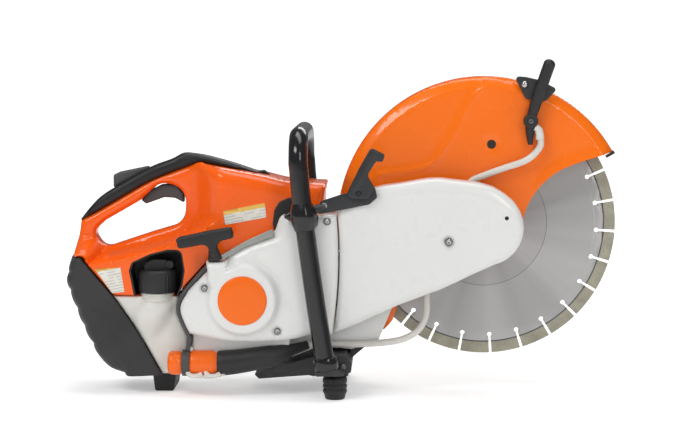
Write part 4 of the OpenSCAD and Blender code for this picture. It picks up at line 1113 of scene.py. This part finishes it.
class SAW_OT_front_handle(SawPiece, bpy.types.Operator):
    """Bend the lacquered front handle and fit its clamp, its saddle and the rubber feet."""

    bl_idname = "saw.front_handle"
    bl_label = "Front handle and feet"

    def build(self):
        tube_y, radius, bend, top = 112.5, 12.5, 34.0, 342.5
        leg = curve([[-15, 43], [-18, 56], [-25, 98], [-35, 166], [-44, 233], [-49, 275], [-51, 300]], 5)
        near = [[x, -tube_y, z] for x, z in leg]
        turns = [math.radians(a) for a in range(0, 91, 9)]
        corner = [[-52, -tube_y + bend - bend * math.cos(a), top - bend + bend * math.sin(a)] for a in turns]
        half = near + corner + [[-52, -40, top], [-52, -15, top]]
        path = half + [[x, -y, z] for x, y, z in half[::-1]]
        shape = Shape().tube(path, radius, 36)
        shape.make("handle_tube", SAW, "handle_lacquer", "tube_black", ("front_handle",), 60)
        clamp = Shape()
        lean = Vector((-0.13, 0, 0.99))
        for y in (-tube_y, tube_y):
            at = Vector((-43.4, y, 228))
            sleeve = [[12.7, -6], [13.4, -5.6], [15.0, -1], [16.6, 5], [17.6, 11], [17.6, 15], [16.2, 21],
                      [14.4, 26], [12.9, 30], [12.7, 30]]
            clamp.turned(at, lean, sleeve, 40, lambda h, a: 1.1 * max(0.0, math.cos(3 * a)) ** 3)
            lug = rounded([[-73, 240, 3], [-60, 248, 8], [-52, 255, 3], [-38, 255, 3], [-31, 248, 8],
                           [-25.6, 239, 3], [-27, 228, 3], [-36, 221, 6], [-52, 222, 6], [-63, 234, 6]])
            bevelled(lug, *sorted((y - math.copysign(1, y), y - math.copysign(12, y))), 2.4, 4, (), clamp)
            foot = Vector((-15, y, 41))
            clamp.turned(foot, lean,
                         [[12.7, 0], [15.4, 0], [16.2, 2], [16.2, 12], [15.2, 15], [12.7, 16.5]], 40)
        clamp.make("handle_clamps", SAW, "handle_lacquer", "tube_black", (), 40)
        feet = Shape()
        profile = [[0.01, 0], [11.5, 0], [13, 1.4], [14.2, 7], [15.6, 9], [16, 12], [15, 13], [15, 14.6],
                   [16, 15.6], [16, 18.6], [15, 19.6], [15, 21.2], [16, 22.2], [16, 27], [14.6, 29],
                   [9, 29.2], [9, 33.4], [0.01, 33.4]]
        for y in (-95, 95):
            feet.turned((-5, y, 0), UPWARD, profile, 48,
                        lambda h, a: -0.5 * max(0.0, math.cos(14 * a)) if 9 < h < 27 else 0)
        feet.make("rubber_feet", SAW, "soft_black", "soft_black", ("front_feet",), 36)
        dress("front_support base_rail", "cast_dark", 1.4)
        bolts = Shape()
        head = [[0.01, 0], [4, 0], [4, 4.6], [3.4, 5.2], [0.01, 5.2]]
        for y in (-94.6, 94.6):
            side = math.copysign(1, y)
            for x, z in ((-14, 45), (6, 42)):
                bolts.turned((x, y - side * 2, z), (0, side, 0), head, 6)
        bolts.make("saddle_bolts", SAW, "steel_dark", "steel_dark", (), 30)


class SAW_OT_starter_grip(SawPiece, bpy.types.Operator):
    """Shape the T-shaped starter grip with its round foot."""

    bl_idname = "saw.starter_grip"
    bl_label = "Starter grip"

    def build(self):
        lean = math.radians(-11.3)
        outline = rounded([[-9.5, 0, 1], [9.5, 0, 1], [9.5, 3.2, 1], [8.6, 4.4, 0], [6.6, 9, 6], [5.6, 15, 0],
                           [6.4, 23.4, 9], [24, 23.8, 2], [28.6, 24.6, 2], [30, 31, 3], [28.6, 38.8, 2.5],
                           [0, 39.6, 0], [-41, 38.8, 3], [-45.4, 36.4, 3], [-44.6, 24.6, 2.5], [-38, 23.4, 2],
                           [-6.4, 23.4, 9], [-5.6, 15, 0], [-6.6, 9, 6], [-8.6, 4.4, 0], [-9.5, 3.2, 1]])
        turned = np.array([[x * math.cos(lean) + z * math.sin(lean), -x * math.sin(lean) + z * math.cos(lean)]
                           for x, z in outline]) + [-160.5, 181.6]
        plate = Plate(turned, (), 3.0, rings_for(4.0, 4), None, 2.6)
        fall = roll(plate.edge, 4.0)
        shape = Shape().plate(plate, -100.5 + fall, -85.5 - fall)
        foot = Vector((-160.5, -93, 181.4))
        up = Vector((math.sin(lean), 0, math.cos(lean)))
        stem = [[0.01, 0], [8.6, 0], [9.6, 0.8], [9.6, 3.4], [8.8, 4], [8.8, 4.8], [9.2, 5.4], [8.4, 7],
                [7.4, 9.6], [6.8, 14], [0.01, 14]]
        shape.turned(foot, up, stem, 36)
        shape.make("pull_grip", "starter_grip", "soft_black", "soft_black", ("starter_grip",), 40)


class SAW_OT_levers(SawPiece, bpy.types.Operator):
    """Make the side lever, its bracket and the rubber seal between the housings."""

    bl_idname = "saw.levers"
    bl_label = "Lever and seal"

    def build(self):
        arm = rounded([[-27, 242, 2], [-24, 259, 3], [3, 268, 0], [47, 278, 3], [50, 264, 4], [40, 255, 3],
                       [-4, 246, 0]])
        bracket = bevelled(arm, -98, -94.4, 1.1, 5)
        bracket.turned((-19, -97, 253), OUTWARD,
                       [[0.01, 0], [6.4, 0], [6.4, 0.8], [5.8, 1.2], [0.01, 1.2]], 28)
        bracket.tube([[-43, -106, 246], [-34, -101.5, 248], [-26, -98, 250], [-18, -96.6, 252]],
                     [9.5, 8.4, 7.2, 6.4], 24, 0, 0.72)
        bracket.make("bracket_arm", SAW, "dark_plate", "cast_dark", ("lever_bracket",), 40)
        outline = rounded([[8, 264, 6], [27, 303, 20], [42, 329, 4], [60, 320, 3], [57, 310, 3], [49, 312, 4],
                           [37, 293, 8], [47, 277, 3], [38, 262, 8]])
        pivot = arc((26, 270), 3, 0, 340, 17)
        spine = curve([[14, 266], [30, 296], [46, 322]], 6)
        plate = Plate(outline, (pivot,), 3.5, rings_for(1.2, 3), spine, 3)
        fall = roll(plate.edge, 1.2)
        rib = smooth((4.5 - to_line(plate.points, [[22, 278], [32, 298], [46, 322]])) / 3)
        shape = Shape().plate(plate, -106.2 + fall - 0.8 * rib, -98.5 - fall)
        shape.make("side_lever", "brake_lever", "dark_plate", "soft_black", ("brake_lever",), 40)
        pins = Shape()
        screw(pins, -19, 253, -98.6, 4.0)
        pins.make("lever_screw", SAW, "steel_bright", "steel_bright", (), 40)
        pivot_pin = Shape().turned((26, -97.5, 270), OUTWARD,
                                   [[0.01, 0], [2.9, 0], [2.9, 8.4], [2.4, 8.9], [0.01, 9.0]], 24)
        pivot_pin.make("lever_pivot", SAW, "soft_black", "cast_dark", (), 40)
        seal = Shape()
        line = curve([[x, -80, z] for x, z in GAP_LINE[::4]] + [[-200, -84, 60]], 5)
        seal.tube(line, 3.0, 16)
        strap = [[14.2, 0], [16.6, 0], [17.4, 0.8], [17.4, 9.4], [16.6, 10.2], [14.2, 10.2]]
        seal.turned((-206.4, -77, 44), (1, 0, 0), strap, 60)
        plate = Plate(join(beside(GAP_LINE, 3.1), beside(GAP_LINE, -3.1)[::-1]), (), 4, (), None, 3)
        seal.plate(plate, -79, -63.6)
        seal.make("gap_strip", SAW, "seal_rubber", "seal_grey", ("gap_seal",), 40)


class SAW_OT_fan_cover(SawPiece, bpy.types.Operator):
    """Mould the far-side fan cover with its ring of cooling slots."""

    bl_idname = "saw.fan_cover"
    bl_label = "Fan cover"

    def build(self):
        holes = []
        for k in range(18):
            a = math.radians(20 * k)
            along, across = np.array([math.cos(a), math.sin(a)]), np.array([-math.sin(a), math.cos(a)])
            slot = rounded([[16, -1.6, 1.5], [42, -2.8, 2.6], [42, 2.8, 2.6], [16, 1.6, 1.5]], 3)
            holes.append(np.array([CRANK + x * along + z * across for x, z in slot]))
        for i in range(5):
            z = 110 + 22 * i
            holes.append(rounded([[-52, z, 3.5], [-18, z, 3.5], [-18, z + 8, 3.5], [-52, z + 8, 3.5]], 3))
        marks = round_mark(CRANK, 46, 47.5, 49, 50.5, 52, 54, steps=72)
        edge = sizes().cover_roll / MM
        plate = Plate(FAN_OUTLINE, holes, 5, rings_for(edge, 5)[:1], marks, 4)
        p = plate.points
        d = to_line(p, plate.loops[0], True)
        ring = 3.8 * smooth((54 - np.linalg.norm(p - CRANK, axis=1)) / 5)
        outer = 87.4 - roll(d, edge) - 1.8 * smooth((20 - d) / 20) + ring
        Shape().plate(plate, np.where(d < 3.2, 46.5, outer - 3.0), outer).make(
            "fan_shell", SAW, "cover_plastic", "cover_white", ("fan_cover",), 40)
        dress("decompression_button", "soft_black", 0.8)
        dress("stop_switch", "dark_plate", 0.8)


class SAW_OT_machinery(SawPiece, bpy.types.Operator):
    """Finish the engine, the drive and the cutting wheel."""

    bl_idname = "saw.machinery"
    bl_label = "Engine, drive and wheel"

    def build(self):
        skirt = rounded([[-193, 84, 2], [-193, 53, 3], [-150, 50, 0], [-68, 54, 3], [-64, 78, 2]])
        bevelled(skirt, -72, -64, 1.4, 5).make("crankcase_skirt", SAW, "cast_white", "cast_light", (), 40)
        dress("crankcase", "cast_white", 1.2)
        dress("cylinder piston carburetor", "cast_light", 0.3)
        dress("connecting_rod crankshaft bearings spindle_shaft clamp_bolt clamping_flanges", "steel_bright",
              0.4)
        dress("muffler flywheel clutch_drum clutch_shoes driven_pulley recoil_spring", "steel_dark",
              0.4)
        dress("belt_arm", "cast_dark", 1.0)
        dress("drive_belt ignition_coil rope_pulley vibration_buffers", "soft_black", 0.3)
        dress("starter_rope", "hose_vinyl", 0.2)
        dress("spark_plug", "ceramic", 0.3)
        element = [[-171, 259], [-117, 259], [-117, 276.5], [-171, 276.5]]
        bevelled(element, -42, 42, 2, 6).make(
            "filter_element", SAW, "filter_pleats", "filter_cloth", ("air_filter",), 40)
        dress("blade_core", "ground_core", 0.0)
        dress("diamond_segments", "diamond_bond", 0.35)


class SAW_OT_stage(SawPiece, bpy.types.Operator):
    """Lay the pale floor and hang the soft studio lights."""

    bl_idname = "saw.stage"
    bl_label = "Floor and lights"

    def build(self):
        ring = arc((0, 0), 60000, 0, 357, 119)
        mesh = bpy.data.meshes.new("studio_floor")
        mesh.from_pydata([(x * MM, z * MM, -0.0002) for x, z in ring], [], [tuple(range(len(ring)))])
        paper = Finish("studio_paper")
        x, y, _ = paper.apart()
        glow = paper.spread(paper.length(x, y), 0.12, 0.62, 0.5, 2.6)
        seen = paper.node("ShaderNodeLightPath").outputs["Is Camera Ray"]
        paper.set(Base_Color=paper.blend(paper.noise(3.0, 2.0), (0.86, 0.86, 0.86), (0.89, 0.89, 0.89)),
                  Roughness=0.9, Specular_IOR_Level=0.05, Emission_Color=(1, 1, 1, 1),
                  Emission_Strength=paper.math("MULTIPLY_ADD", seen, glow, 0.24))
        mesh.materials.append(paper.material)
        piece = bpy.data.objects.new("studio_floor", mesh)
        bpy.context.scene.collection.objects.link(piece)
        for name, at, aim, size, power in (
                ("key_softbox", (-1.5, -1.9, 2.3), (0, 0, 0.22), (1.5, 0.8), 34),
                ("front_softbox", (1.3, -2.6, 1.5), (0.1, 0, 0.2), (0.7, 1.2), 16),
                ("top_softbox", (0.1, 0.1, 2.6), (0, 0, 0.2), (2.4, 1.0), 27),
                ("rear_softbox", (0.6, 2.4, 1.7), (0, 0, 0.2), (1.8, 1.0), 16)):
            data = bpy.data.lights.new(name, "AREA")
            data.shape, data.size, data.size_y, data.energy = "RECTANGLE", *size, power
            lamp = bpy.data.objects.new(name, data)
            lamp.location = at
            lamp.rotation_euler = (Vector(aim) - Vector(at)).to_track_quat("-Z", "Y").to_euler()
            bpy.context.scene.collection.objects.link(lamp)
        world = bpy.data.worlds.new("studio_air")
        bpy.context.scene.world = world
        world.use_nodes = True
        sky = Wiring(world.node_tree)
        place = sky.node("ShaderNodeTexCoord").outputs["Generated"]
        height = sky.node("ShaderNodeSeparateXYZ", Vector=place).outputs["Z"]
        # The studio is dim in reflections, and plain white behind the saw.
        rays = sky.node("ShaderNodeLightPath").outputs
        dimming = sky.math("SUBTRACT", 1.0, sky.math("MULTIPLY", rays["Is Glossy Ray"], 0.62))
        light = sky.math("MULTIPLY", sky.spread(height, 0.46, 0.32, 0.0, 0.5), dimming)
        backdrop = sky.math("MULTIPLY", rays["Is Camera Ray"], 1.05)
        background = world.node_tree.nodes["Background"]
        background.inputs["Color"].default_value = (1, 1, 1, 1)
        sky.feed(background.inputs["Strength"], sky.math("MAXIMUM", light, backdrop))
        bpy.context.scene.view_settings.view_transform = "Standard"


BUILDERS = (
    SAW_OT_camera, SAW_OT_water, SAW_OT_starter_cover, SAW_OT_belt_cover, SAW_OT_guard, SAW_OT_guard_handle,
    SAW_OT_hood, SAW_OT_grip, SAW_OT_skid, SAW_OT_tank, SAW_OT_front_handle, SAW_OT_starter_grip,
    SAW_OT_levers, SAW_OT_fan_cover, SAW_OT_machinery, SAW_OT_stage,
)


class SAW_PT_panel(bpy.types.Panel):
    """The saw's pieces, sizes and colours in the sidebar."""

    bl_idname = "SAW_PT_panel"
    bl_label = "Cut-off saw"
    bl_space_type = "VIEW_3D"
    bl_region_type = "UI"
    bl_category = "Cut-off saw"

    def draw(self, context):
        for builder in BUILDERS:
            self.layout.operator(builder.bl_idname)
        for group in (context.scene.saw_sizes, context.scene.saw_colours):
            box = self.layout.box()
            for key in group.__annotations__:
                box.prop(group, key)


CLASSES = (SawColours, SawSizes, *BUILDERS, SAW_PT_panel)


def register():
    for c in CLASSES:
        bpy.utils.register_class(c)
    bpy.types.Scene.saw_colours = bpy.props.PointerProperty(type=SawColours)
    bpy.types.Scene.saw_sizes = bpy.props.PointerProperty(type=SawSizes)


def unregister():
    del bpy.types.Scene.saw_sizes
    del bpy.types.Scene.saw_colours
    for c in reversed(CLASSES):
        bpy.utils.unregister_class(c)


def main():
    register()
    for builder in BUILDERS:
        group, name = builder.bl_idname.split(".")
        getattr(getattr(bpy.ops, group), name)()


if __name__ == "__main__":
    main()
